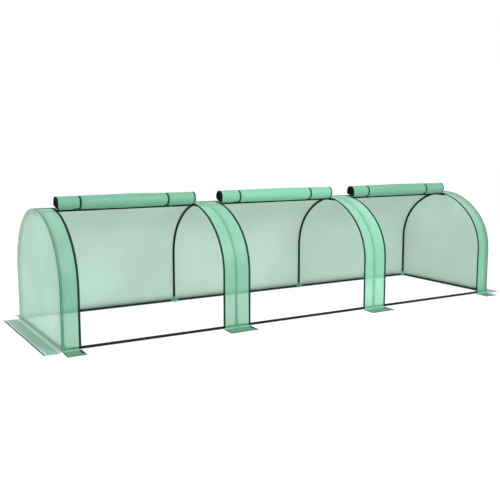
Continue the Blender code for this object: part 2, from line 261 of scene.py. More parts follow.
@dataclass(frozen=True)
class Slack:
    """How far a sewn sheet strays from its taut shape, as smooth waves that cross each other."""

    depth: float
    length: float
    seed: int
    waves: int = 9

    def at(self, u: Points, v: Points) -> Points:
        """The height of the waves.

        Args:
            u: places across the flat cut.
            v: places along it.

        Returns:
            The height at each place.
        """
        draw = np.random.default_rng(self.seed)
        total = np.zeros(np.broadcast(u, v).shape)
        for _ in range(self.waves):
            turn, phase = draw.uniform(0, pi), draw.uniform(0, 2 * pi)
            pace = 2 * pi / (self.length * draw.uniform(0.6, 1.8))
            total = total + np.sin(pace * (u * cos(turn) + v * sin(turn)) + phase)
        return self.depth * total / (self.waves / 2) ** 0.5


def ramp(value: Points) -> Points:
    """A value held between 0 and 1."""
    return np.clip(value, 0.0, 1.0)


def ease(value: Points) -> Points:
    """A value held between 0 and 1, with a soft start and end."""
    held = ramp(value)
    return held**2 * (3 - 2 * held)


def decay(away: Points, width: float) -> Points:
    """1 at no distance away, and less by the same factor with each width."""
    return np.exp(-(away / width))


# ---- Modelling by hand ----


def deselect() -> None:
    """Leaves object mode with nothing selected, because an operator acts on all that is."""
    if bpy.context.mode != "OBJECT":
        bpy.ops.object.mode_set(mode="OBJECT")
    bpy.ops.object.select_all(action="DESELECT")


def take(name: str) -> Piece:
    """Names the primitive that was just added, and applies its place and turn.

    Args:
        name: the piece's name.

    Returns:
        The piece.
    """
    piece = bpy.context.active_object
    piece.name = piece.data.name = name
    bpy.ops.object.transform_apply(location=True, rotation=True, scale=True)
    return piece


def pick(piece: Piece) -> None:
    """Makes a piece the only one selected, and active.

    Args:
        piece: the piece.
    """
    deselect()
    piece.select_set(True)
    bpy.context.view_layer.objects.active = piece


def apply_modifiers(piece: Piece) -> None:
    """Applies each modifier of a piece, in their order.

    Args:
        piece: the piece.
    """
    pick(piece)
    for modifier in list(piece.modifiers):
        bpy.ops.object.modifier_apply(modifier=modifier.name)


def smooth(piece: Piece, angle: float = 40.0) -> None:
    """Shades a piece smooth, with the edges over this many degrees kept sharp."""
    pick(piece)
    bpy.ops.object.shade_smooth_by_angle(angle=radians(angle))


def points_of(piece: Piece) -> Points:
    """The vertices of a piece, one row each.

    Args:
        piece: the piece.

    Returns:
        Their places.
    """
    flat = np.empty(len(piece.data.vertices) * 3)
    piece.data.vertices.foreach_get("co", flat)
    return flat.reshape(-1, 3)


def set_points(piece: Piece, points: Points) -> None:
    """Moves the vertices of a piece."""
    piece.data.vertices.foreach_set("co", points.astype(np.float32).ravel())
    piece.data.update()


def set_map(piece: Piece, flat: Points) -> None:
    """Maps a sheet by the flat place of each vertex, in metres.

    Args:
        piece: the sheet.
        flat: the flat places, one row each.
    """
    loops = np.empty(len(piece.data.loops), int)
    piece.data.loops.foreach_get("vertex_index", loops)
    piece.data.uv_layers[CUT].data.foreach_set("uv", flat[loops, :2].astype(np.float32).ravel())


def paint(piece: Piece, finish: bpy.types.Material, inside: Callable[[Vector], bool]) -> None:
    """Gives some of a piece's faces a finish of their own.

    Args:
        piece: the piece, in its place.
        finish: the finish.
        inside: whether a face with its middle there gets it.
    """
    piece.data.materials.append(finish)
    for face in piece.data.polygons:
        if inside(face.center):
            face.material_index = len(piece.data.materials) - 1


def thicken(piece: Piece, thickness: float, offset: float = 0.0, angle: float = 40.0) -> None:
    """Gives a drawn surface its thickness, and shades it smooth.

    Args:
        piece: the surface.
        thickness: how thick it gets.
        offset: 0 for both ways, -1 for inwards only.
        angle: the edges over this many degrees stay sharp.
    """
    wall = piece.modifiers.new("thickness", "SOLIDIFY")
    wall.thickness, wall.offset, wall.use_even_offset = thickness, offset, True
    apply_modifiers(piece)
    smooth(piece, angle)


def round_edges(piece: Piece, width: float, segments: int = 2) -> None:
    """Bevels the sharp edges of a piece.

    Args:
        piece: the piece.
        width: the bevel's width.
        segments: the number of its steps.
    """
    bevel = piece.modifiers.new("rounding", "BEVEL")
    bevel.width, bevel.segments, bevel.harden_normals = width, segments, False
    bevel.limit_method, bevel.angle_limit = "ANGLE", radians(40.0)
    apply_modifiers(piece)


def cut_sheet(name: str, across: Points, along: Points) -> Piece:
    """A flat sheet with its seams where the pattern has them, and a UV map in metres.

    Args:
        name: the piece's name.
        across: the places of its columns along X.
        along: the places of its rows along Y.

    Returns:
        The flat piece, its face up.
    """
    deselect()
    bpy.ops.mesh.primitive_grid_add(x_subdivisions=len(across) - 1, y_subdivisions=len(along) - 1, size=1.0)
    piece = take(name)
    points = points_of(piece)
    column = np.rint((points[:, 0] + 0.5) * (len(across) - 1)).astype(int)
    row = np.rint((points[:, 1] + 0.5) * (len(along) - 1)).astype(int)
    flat = np.column_stack([across[column], along[row], np.zeros(len(points))])
    set_points(piece, flat)
    piece.data.uv_layers.active.name = CUT
    set_map(piece, flat)
    return piece


def lay(piece: Piece, drape: Drape) -> None:
    """Moves a flat sheet to where it hangs.

    Args:
        piece: a sheet from cut_sheet.
        drape: gives X, Y and Z for the flat X and Y.
    """
    flat = points_of(piece)
    set_points(piece, np.column_stack([np.broadcast_to(c, len(flat)) for c in drape(flat[:, 0], flat[:, 1])]))


def hang(
    name: str, across: Points, along: Points, drape: Drape, thickness: float, angle: float = 40.0
) -> Piece:
    """Cuts a sheet, lays it in its place and gives it its thickness.

    Args:
        name: the piece's name.
        across: the places of its columns.
        along: the places of its rows.
        drape: gives X, Y and Z for the flat X and Y.
        thickness: how thick it is.
        angle: the edges over this many degrees stay sharp.

    Returns:
        The piece.
    """
    piece = cut_sheet(name, across, along)
    lay(piece, drape)
    thicken(piece, thickness, angle=angle)
    return piece


def spaced(start: float, end: float, step: float, *stops: float) -> Points:
    """Places from a start to an end, evenly spaced between the stops.

    Args:
        start: the first place.
        end: the last place.
        step: about how far apart they are.
        stops: places that are always among them.

    Returns:
        The places.
    """
    marks = sorted({start, end, *stops})
    runs = [np.linspace(a, b, max(2, round((b - a) / step) + 1)) for a, b in zip(marks, marks[1:])]
    return np.concatenate([runs[0], *(run[1:] for run in runs[1:])])


@dataclass(frozen=True)
class Straight:
    """A straight length of a swept piece."""

    by: Place


@dataclass(frozen=True)
class Bend:
    """A bend of a swept piece about an axis along X, positive from the top towards the back."""

    centre: Place
    turn: float
    steps: int


def face_outwards() -> None:
    """Turns all faces of the piece in edit mode outwards, and leaves edit mode."""
    bpy.ops.mesh.select_all(action="SELECT")
    bpy.ops.mesh.normals_make_consistent(inside=False)
    bpy.ops.object.mode_set(mode="OBJECT")


def sweep(
    name: str, radius: float, sides: int, start: Place, facing: Place, moves: Sequence[Straight | Bend]
) -> Piece:
    """An open round tube, drawn as a circle that is extruded and spun along its run.

    Args:
        name: the piece's name.
        radius: the tube's outside radius.
        sides: how many sides its circle has.
        start: the middle of its first ring.
        facing: the first ring's turn, in radians about each axis.
        moves: the lengths and bends that follow.

    Returns:
        The tube, its faces outwards.
    """
    deselect()
    bpy.ops.mesh.primitive_circle_add(
        vertices=sides, radius=radius, fill_type="NOTHING", location=start, rotation=facing
    )
    piece = take(name)
    bpy.ops.object.mode_set(mode="EDIT")
    bpy.ops.mesh.select_all(action="SELECT")
    for move in moves:
        if isinstance(move, Straight):
            bpy.ops.mesh.extrude_region_move(TRANSFORM_OT_translate={"value": move.by})
        else:
            bpy.ops.mesh.spin(steps=move.steps, angle=move.turn, center=move.centre, axis=(1, 0, 0))
    face_outwards()
    return piece


def close_ends(piece: Piece) -> None:
    """Merges the doubles of a swept piece, and fills its open ends.

    Args:
        piece: the piece.
    """
    pick(piece)
    bpy.ops.object.mode_set(mode="EDIT")
    bpy.ops.mesh.select_all(action="SELECT")
    bpy.ops.mesh.remove_doubles(threshold=1e-6)
    bpy.ops.mesh.fill_holes(sides=0)
    face_outwards()


def box(name: str, low: Place, high: Place) -> Piece:
    """A box between two corners, as a start for a piece.

    Args:
        name: the piece's name.
        low: its lowest corner.
        high: its highest corner.

    Returns:
        The box.
    """
    deselect()
    middle = [(a + b) / 2 for a, b in zip(low, high)]
    bpy.ops.mesh.primitive_cube_add(size=1.0, location=middle)
    bpy.context.active_object.scale = [b - a for a, b in zip(low, high)]
    return take(name)


def block(name: str, half: Place, level: float = 0.0) -> Piece:
    """A box with its middle at this level on the Z axis, with these half sizes."""
    return box(name, (-half[0], -half[1], level - half[2]), (half[0], half[1], level + half[2]))


def rod(name: str, radius: float, start: Place, end: Place, sides: int = 32) -> Piece:
    """A round rod, as a start for a piece.

    Args:
        name: the piece's name.
        radius: its radius.
        start: the middle of its first end.
        end: the middle of its other end.
        sides: how many sides it has.

    Returns:
        The rod.
    """
    deselect()
    a, b = Vector(start), Vector(end)
    facing = (b - a).to_track_quat("Z", "Y").to_euler()
    bpy.ops.mesh.primitive_cylinder_add(
        vertices=sides, radius=radius, depth=(b - a).length, location=(a + b) / 2, rotation=facing
    )
    return take(name)


def combine(piece: Piece, other: Piece, how: str = "DIFFERENCE") -> None:
    """Cuts another body away from a piece, or joins it, and removes that body.

    Args:
        piece: the piece.
        other: the other body.
        how: the way they are combined.
    """
    boolean = piece.modifiers.new("combine", "BOOLEAN")
    boolean.operation, boolean.solver, boolean.object = how, "EXACT", other
    apply_modifiers(piece)
    bpy.data.objects.remove(other, do_unlink=True)


def join(pieces: Sequence[Piece], name: str) -> Piece:
    """Makes one piece of several bodies.

    Args:
        pieces: the bodies.
        name: the piece's name.

    Returns:
        The piece.
    """
    deselect()
    for piece in pieces:
        piece.select_set(True)
    bpy.context.view_layer.objects.active = pieces[0]
    bpy.ops.object.join()
    pieces[0].name = pieces[0].data.name = name
    return pieces[0]


def add_piece(name: str, data: bpy.types.ID) -> Piece:
    """Puts a mesh, a lamp or a camera in the scene.

    Args:
        name: its name.
        data: its mesh, lamp or camera.

    Returns:
        What was added.
    """
    piece = bpy.data.objects.new(name, data)
    bpy.context.scene.collection.objects.link(piece)
    return piece


def repeated(pattern: Piece, name: str, places: Sequence[Matrix]) -> Piece:
    """One piece that holds a copy of a pattern at each place.

    Args:
        pattern: the body to copy, which is removed.
        name: the piece's name.
        places: the matrix of each copy.

    Returns:
        The piece.
    """
    mesh = bpy.data.meshes.new(name)
    bm = bmesh.new()
    for place in places:
        first = len(bm.verts)
        bm.from_mesh(pattern.data)
        bm.verts.ensure_lookup_table()
        bmesh.ops.transform(bm, matrix=place, verts=bm.verts[first:])
    bm.to_mesh(mesh)
    bm.free()
    bpy.data.objects.remove(pattern, do_unlink=True)
    return add_piece(name, mesh)


def copy_of(piece: Piece, name: str, place: Matrix) -> Piece:
    """A copy of a piece with its own mesh, moved by a matrix.

    Args:
        piece: the piece.
        name: the copy's name.
        place: the matrix.

    Returns:
        The copy.
    """
    mesh = piece.data.copy()
    mesh.name = name
    mesh.transform(place)
    return add_piece(name, mesh)


def lengths_along(*axes: Points) -> Points:
    """How far each point of a path is along it, from the places of its points along each axis."""
    return np.concatenate([[0.0], np.cumsum(np.hypot(*(np.diff(axis) for axis in axes)))])


@dataclass(frozen=True)
class Teeth:
    """The moulded teeth of half a zip, one every pitch along its edge."""

    reach: float = 0.0042
    length: float = 0.0022
    height: float = 0.0026
    pitch: float = 0.0036
    bevel: float = 0.0005
    look_ahead: float = 0.0005

    def row(self, name: str, x: Points, y: Points, z: Points) -> Piece:
        """Sets one tooth after the other along a line that starts at its first point.

        Args:
            name: the piece's name.
            x: the places of the line's points along the tunnel.
            y: their places across it.
            z: their heights.

        Returns:
            The row of teeth, each turned along the line.
        """
        tooth = block("tooth", (self.reach / 2, self.length / 2, self.height / 2))
        round_edges(tooth, self.bevel, 1)
        marks = lengths_along(y, z)
        places = []
        for mark in np.arange(self.pitch / 2, marks[-1], self.pitch):
            ends = (mark, mark + self.look_ahead)
            here, ahead = ([float(np.interp(m, marks, c)) for c in (x, y, z)] for m in ends)
            lean = atan2(ahead[2] - here[2], ahead[1] - here[1])
            places.append(Matrix.Translation(here) @ Matrix.Rotation(lean, 4, "X"))
        return repeated(tooth, name, places)


# ---- Finishes ----


class Nodes:
    """A node tree being built, with one call for each node."""

    def __init__(self, tree: bpy.types.NodeTree) -> None:
        """Empties the tree."""
        self.tree = tree
        tree.nodes.clear()

    def node(self, kind: str, inputs: dict[Any, Any] | None = None, **settings: Any) -> bpy.types.Node:
        """Adds a node.

        Args:
            kind: the node's type, without its ShaderNode.
            inputs: a number, colour or socket for each input, by its name or index.
            settings: the node's own settings.

        Returns:
            The node.
        """
        made = self.tree.nodes.new("ShaderNode" + kind)
        for key, value in settings.items():
            setattr(made, key, value)
        for key, value in (inputs or {}).items():
            if isinstance(value, Socket):
                self.tree.links.new(value, made.inputs[key])
            elif isinstance(value, tuple) and len(value) == 3 and made.inputs[key].type == "RGBA":
                made.inputs[key].default_value = (*value, 1.0)
            else:
                made.inputs[key].default_value = value
        return made

    def math(self, how: str, *values: Any) -> Socket:
        """The result of a Math node."""
        return self.node("Math", dict(enumerate(values)), operation=how).outputs[0]

    def remap(self, value: Socket, low: float, high: float, to_low: float, to_high: float) -> Socket:
        """Moves a value smoothly from one range to another.

        Args:
            value: the value.
            low: where its range starts.
            high: where its range ends.
            to_low: the result from there down.
            to_high: the result from there up.

        Returns:
            The result.
        """
        spread = {"Value": value, "From Min": low, "From Max": high, "To Min": to_low, "To Max": to_high}
        return self.node("MapRange", spread, interpolation_type="SMOOTHSTEP").outputs[0]

    def mix(self, share: Socket | float, a: Any, b: Any, how: str = "MIX") -> Socket:
        """Mixes two colours.

        Args:
            share: how much of the second there is.
            a: the first colour.
            b: the second colour.
            how: the way they are mixed.

        Returns:
            The mixed colour.
        """
        return self.node("Mix", {0: share, 6: a, 7: b}, data_type="RGBA", blend_type=how).outputs[2]

    def shown(self) -> Socket:
        """1 for the rays that show a background: from the camera, a reflection or glass.

        Returns:
            1 or 0, as a socket.
        """
        rays = self.node("LightPath").outputs
        first = self.math("MAXIMUM", rays["Is Camera Ray"], rays["Is Glossy Ray"])
        return self.math("MAXIMUM", first, rays["Is Transmission Ray"])


class Shading(Nodes):
    """A material being built.

    Usual holds a cloud pattern's usual values, and thread_edge where a thread fades, as shares of its width.
    """

    usual = (0.3, 0.7)
    thread_edge = (0.3, 0.7)

    def __init__(self, name: str) -> None:
        """Starts an empty material.

        Args:
            name: its name.
        """
        self.material = bpy.data.materials.new(name)
        self.material.use_nodes = True
        super().__init__(self.material.node_tree)

    def place(self) -> Socket:
        """The place on the piece, in metres."""
        return self.node("TexCoord").outputs["Object"]

    def noise(self, scale: float, detail: float = 2.0) -> Socket:
        """A cloud pattern that is fixed to the piece."""
        return self.node("TexNoise", {"Vector": self.place(), "Scale": scale, "Detail": detail}).outputs[0]

    def vary(self, noise: Socket, low: float, high: float) -> Socket:
        """A cloud pattern's usual values, spread over a range."""
        return self.remap(noise, *self.usual, low, high)

    def cut_axes(self) -> tuple[Socket, Socket]:
        """The place on the flat cut, in metres, across and along."""
        axes = self.node("SeparateXYZ", {0: self.node("UVMap", uv_map=CUT).outputs[0]})
        return axes.outputs[0], axes.outputs[1]

    def threads(self, axis: Socket, pitch: float, width: float) -> Socket:
        """Draws evenly spaced threads across an axis.

        Args:
            axis: the place along the axis.
            pitch: the distance between two threads.
            width: how wide a thread is.

        Returns:
            1 on the threads and 0 between them.
        """
        away = self.math("PINGPONG", axis, pitch / 2)
        return self.remap(away, *(share * width for share in self.thread_edge), 1.0, 0.0)

    def bump(self, height: Socket, strength: float, distance: float) -> Socket:
        """A normal from a height."""
        return self.node("Bump", {"Height": height, "Strength": strength, "Distance": distance}).outputs[0]

    def surface(self, colour: Socket, rough: Socket, normal: Socket, specular: float) -> Socket:
        """A surface that light bounces off.

        Args:
            colour: its colour.
            rough: its roughness.
            normal: its normal.
            specular: how strongly it shines.

        Returns:
            The shader.
        """
        inputs = {"Base Color": colour, "Roughness": rough, "Normal": normal, "Specular IOR Level": specular}
        return self.node("BsdfPrincipled", inputs).outputs[0]

    def finish(self, shader: Socket) -> bpy.types.Material:
        """Shows a shader, and gives the material."""
        self.node("OutputMaterial", {"Surface": shader})
        return self.material


def scaled(colour: Colour, factor: float, most: float = 1.0) -> Colour:
    """A colour made lighter or darker."""
    return tuple(min(most, factor * c) for c in colour)


@dataclass(frozen=True)
class Film:
    """A reinforced film that light shines through, with fine threads in both directions.

    Its tone changes with the height as painted light and shade: from crown_z up the crown factor makes it
    darker or lighter and a pale painted reflection is mixed in, near the ground foot darkens it as painted
    shade, and below the shoulder leg lightens it as painted light.
    """

    name: str
    colour: Colour
    thread: Colour
    tint: Colour
    clear: float
    glow: float
    gloss: float = 1.0
    rough: tuple[float, float] = (0.30, 0.46)
    # crown, foot and leg scale the colour by height: painted light and shade.
    crown: float = 1.0
    foot: float = 1.0
    # A pale painted reflection, mixed in from crown_z up.
    crown_reflection: float = 0.0
    leg: float = 1.0
    pitch: float = 0.0055
    thread_width: float = 0.0011
    thread_share: float = 0.55
    thread_relief: float = 0.35
    relief: tuple[float, float] = (0.22, 0.0012)
    # The colour of the pale painted reflection at the crown.
    reflection_colour: Colour = (0.90, 0.92, 0.90)
    crown_z: tuple[float, float] = (0.40, 0.79)
    foot_z: tuple[float, float] = (0.010, 0.075)
    leg_z: tuple[float, float] = (0.10, 0.36)
    clouds: tuple[float, float] = (2.6, 3.0)
    crinkles: tuple[float, float] = (42.0, 4.0)
    shades: tuple[float, float] = (0.95, 1.04)
    thread_clear: float = 0.7
    brightest: float = 0.9

    def with_painted_light(self, name: str, tone: float) -> bpy.types.Material:
        """The material of the film made lighter or darker all over: painted light and shade.

        Args:
            name: the material's name.
            tone: a factor for its colours.

        Returns:
            The material.
        """
        colour, thread = (scaled(shade, tone, self.brightest) for shade in (self.colour, self.thread))
        return replace(self, name=name, colour=colour, thread=thread).material()

    def material(self) -> bpy.types.Material:
        """Builds the material: some light goes straight through, some glows through and some bounces.

        Returns:
            The material.
        """
        s = Shading(self.name)
        warp, weft = (s.threads(axis, self.pitch, self.thread_width) for axis in s.cut_axes())
        mesh = s.math("MAXIMUM", warp, weft)
        cloud, crinkle = s.noise(*self.clouds), s.noise(*self.crinkles)
        height = s.node("SeparateXYZ", {0: s.place()}).outputs[2]
        plain = s.mix(s.math("MULTIPLY", mesh, self.thread_share), self.colour, self.thread)
        # A pale painted reflection, stronger towards the crown.
        plain = s.mix(s.remap(height, *self.crown_z, 0.0, self.crown_reflection), plain, self.reflection_colour)
        shade = s.vary(cloud, *self.shades)
        # Painted light and shade by height: at the crown, near the ground and below the shoulder.
        for where, low, high in (
            (self.crown_z, 1.0, self.crown),
            (self.foot_z, self.foot, 1.0),
            (self.leg_z, self.leg, 1.0),
        ):
            shade = s.math("MULTIPLY", shade, s.remap(height, *where, low, high))
        tone = s.node("CombineColor", {0: shade, 1: shade, 2: shade}).outputs[0]
        colour = s.mix(1.0, plain, tone, "MULTIPLY")
        normal = s.bump(s.math("MULTIPLY_ADD", mesh, self.thread_relief, crinkle), *self.relief)
        front = s.surface(colour, s.vary(crinkle, *self.rough), normal, self.gloss)
        through = s.node("BsdfTranslucent", {"Color": colour, "Normal": normal}).outputs[0]
        body = s.node("MixShader", {0: self.glow, 1: front, 2: through}).outputs[0]
        clear = s.node("BsdfTransparent", {"Color": self.tint}).outputs[0]
        open_share = s.remap(mesh, 0.0, 1.0, self.clear, self.clear * self.thread_clear)
        return s.finish(s.node("MixShader", {0: open_share, 1: body, 2: clear}).outputs[0])


@dataclass(frozen=True)
class Moulded:
    """Moulded plastic or powder-coated steel: an even colour with a fine skin."""

    name: str
    colour: Colour
    rough: float
    grain: float = 700.0
    rough_spread: tuple[float, float] = (-0.06, 0.08)
    tones: tuple[float, float] = (0.82, 1.14)
    relief: tuple[float, float] = (0.08, 0.0004)
    specular: float = 0.5
    clouds: tuple[float, float] = (9.0, 3.0)

    def material(self) -> bpy.types.Material:
        """Builds the material.

        Returns:
            The material.
        """
        s = Shading(self.name)
        cloud, skin = s.noise(*self.clouds), s.noise(self.grain)
        colour = s.mix(s.vary(cloud, 0.0, 1.0), *(scaled(self.colour, tone) for tone in self.tones))
        rough = s.vary(skin, *(self.rough + away for away in self.rough_spread))
        return s.finish(s.surface(colour, rough, s.bump(skin, *self.relief), self.specular))


@dataclass(frozen=True)
class Woven:
    """A woven tape or strap with fine ribs across it and two rows of stitches along it.

    The pairs warp and stitches are a pitch and a width.
    """

    name: str
    colour: Colour
    stitch: Colour
    stitch_rows: tuple[float, float]
    stitch_width: tuple[float, float] = (0.0003, 0.0006)
    stitches: tuple[float, float] = (0.0042, 0.0044)
    rough: tuple[float, float] = (0.68, 0.86)
    rib: float = 0.0012
    warp: tuple[float, float] = (0.0016, 0.0010)
    relief: tuple[float, float] = (0.5, 0.0006)
    specular: float = 0.15
    warp_tone: tuple[float, float] = (0.4, 0.6)
    rib_share: float = 0.9
    shade: float = 0.6
    stitch_relief: float = 0.8
    grain: float = 160.0

    def material(self) -> bpy.types.Material:
        """Builds the material.

        Returns:
            The material.
        """
        s = Shading(self.name)
        u, v = s.cut_axes()
        warp = s.math("MULTIPLY_ADD", s.threads(u, *self.warp), *self.warp_tone)
        weave = s.math("MULTIPLY", s.threads(v, self.rib, self.rib_share * self.rib), warp)
        rows = [
            s.remap(s.math("ABSOLUTE", s.math("SUBTRACT", u, at)), *self.stitch_width, 1.0, 0.0)
            for at in self.stitch_rows
        ]
        along = s.threads(v, *self.stitches)
        stitch = s.math("MULTIPLY", s.math("MAXIMUM", *rows), along)
        cloth = s.mix(weave, scaled(self.colour, self.shade), self.colour)
        colour = s.mix(stitch, cloth, self.stitch)
        normal = s.bump(s.math("MULTIPLY_ADD", stitch, self.stitch_relief, weave), *self.relief)
        rough = s.vary(s.noise(self.grain), *self.rough)
        return s.finish(s.surface(colour, rough, normal, self.specular))


class Finishes:
    """Every finish of the greenhouse, built once."""

    def __init__(self) -> None:
        """Builds the materials."""
        self.films()
        # Dark strips: painted shadow under the lifted edges of hems and flaps, and the zip tape carried on to
        # a flap.
        self.edge_shadow_and_tape = Moulded("edge_shadow_and_tape_film", (0.012, 0.050, 0.032), 0.60, 600.0, specular=0.2).material()
        self.steel = Moulded("frame_tube_coat", (0.009, 0.020, 0.015), 0.58, specular=0.12).material()
        self.bar = Moulded("ground_bar_coat", (0.012, 0.013, 0.012), 0.60, specular=0.12).material()
        self.plastic = Moulded("connector_plastic", (0.10, 0.36, 0.23), 0.42, 500.0).material()
        self.clip = Moulded("ridge_clip_plastic", (0.015, 0.04, 0.028), 0.50, 500.0, specular=0.25).material()
        self.teeth = Moulded("zip_teeth_plastic", (0.005, 0.020, 0.013), 0.50, 900.0, specular=0.1).material()
        self.slider = Moulded("slider_lacquer", (0.010, 0.016, 0.014), 0.30, 400.0).material()
        self.piping = Moulded("seam_piping", (0.016, 0.066, 0.040), 0.60, 600.0, specular=0.2).material()
        self.tape, self.strap = (
            Woven(*look).material()
            for look in (
                ("zip_tape_weave", (0.007, 0.030, 0.019), (0.020, 0.060, 0.040), (0.0035, 0.0080)),
                ("tie_weave", (0.008, 0.070, 0.036), (0.020, 0.12, 0.07), (0.003, 0.010)),
            )
        )

    def films(self) -> None:
        """Builds the films of the cover and its doors, with painted light and shade for each front band."""
        # The cover is darker at the crown and near the ground, and the ends darker near the ground: painted
        # shade. The ends are lighter at the crown: painted light.
        cover = Film(
            "cover_film", (0.52, 0.70, 0.61), (0.66, 0.82, 0.74), (0.95, 1.0, 0.98),
            clear=0.43, glow=0.55, gloss=0.7, crown=0.86, foot=0.64,
        )
        end = replace(cover, name="end_film", crown=1.12, foot=0.86)
        # The bands are lighter below the shoulder: painted light.
        band = Film(
            "band_film", (0.25, 0.63, 0.44), (0.40, 0.76, 0.59), (1.0, 1.0, 1.0),
            clear=0.47, glow=0.5, leg=1.09,
        )
        door = Film(
            "door_film", (0.21, 0.53, 0.35), (0.33, 0.67, 0.50), (0.75, 0.95, 0.85),
            clear=0.06, glow=0.2, gloss=0.3, rough=(0.40, 0.56),
        )
        # The middle door gets a lighter copy of the door film: painted light.
        lit_door = replace(door, name="door_film_lit", colour=(0.24, 0.65, 0.42), thread=(0.37, 0.76, 0.56))
        # The film on the ground is a darker, greyer copy with less light through it: painted shade of the
        # floor beneath.
        skirt = Film(
            "skirt_shaded_film", (0.36, 0.55, 0.48), (0.49, 0.69, 0.61), (0.85, 0.97, 0.92),
            clear=0.28, glow=0.35, gloss=0.5,
        )
        # The flaps' copy is darker still: painted shade.
        flap = replace(
            skirt, name="flap_shaded_film", colour=(0.195, 0.42, 0.31), thread=(0.31, 0.56, 0.44),
            tint=(0.74, 0.92, 0.82),
        )
        # The hem is less see-through, as it is doubled, and lighter as a painted highlight.
        hem = replace(
            skirt, name="hem_highlight_film", colour=(0.64, 0.83, 0.75), thread=(0.72, 0.88, 0.81), clear=0.12
        )
        self.cover, self.end = cover.material(), end.material()
        # Each front band's painted light and shade: a tone factor, a pale painted reflection and a crown
        # factor.
        band_painted_light = ((0.96, 0.16, 1.06), (1.0, 0.06, 1.15), (1.19, 0.16, 1.08), (1.06, 0.30, 1.06))
        self.bands = [
            replace(band, crown_reflection=crown_reflection, crown=crown).with_painted_light(f"band_film_{number}", tone)
            for number, (tone, crown_reflection, crown) in enumerate(band_painted_light, 1)
        ]
        self.doors = [door.material(), lit_door.material()]
        self.doors.append(self.doors[0])
        self.skirt, self.flap, self.hem = skirt.material(), flap.material(), hem.material()


def dress(piece: Piece, material: bpy.types.Material, body: str, slot: str, *nodes: str) -> Piece:
    """Gives a piece its finish and its body, and hides the nodes that it stands for.

    Args:
        piece: the piece.
        material: its finish.
        body: the body that it moves with.
        slot: not used.
        nodes: the nodes that it replaces.

    Returns:
        The piece.
    """
    piece.data.materials.clear()
    piece.data.materials.append(material)
    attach(piece, body)
    if nodes:
        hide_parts(*nodes)
    LOG.info("%s rides on %s", piece.name, body)
    return piece


# ---- The frame ----


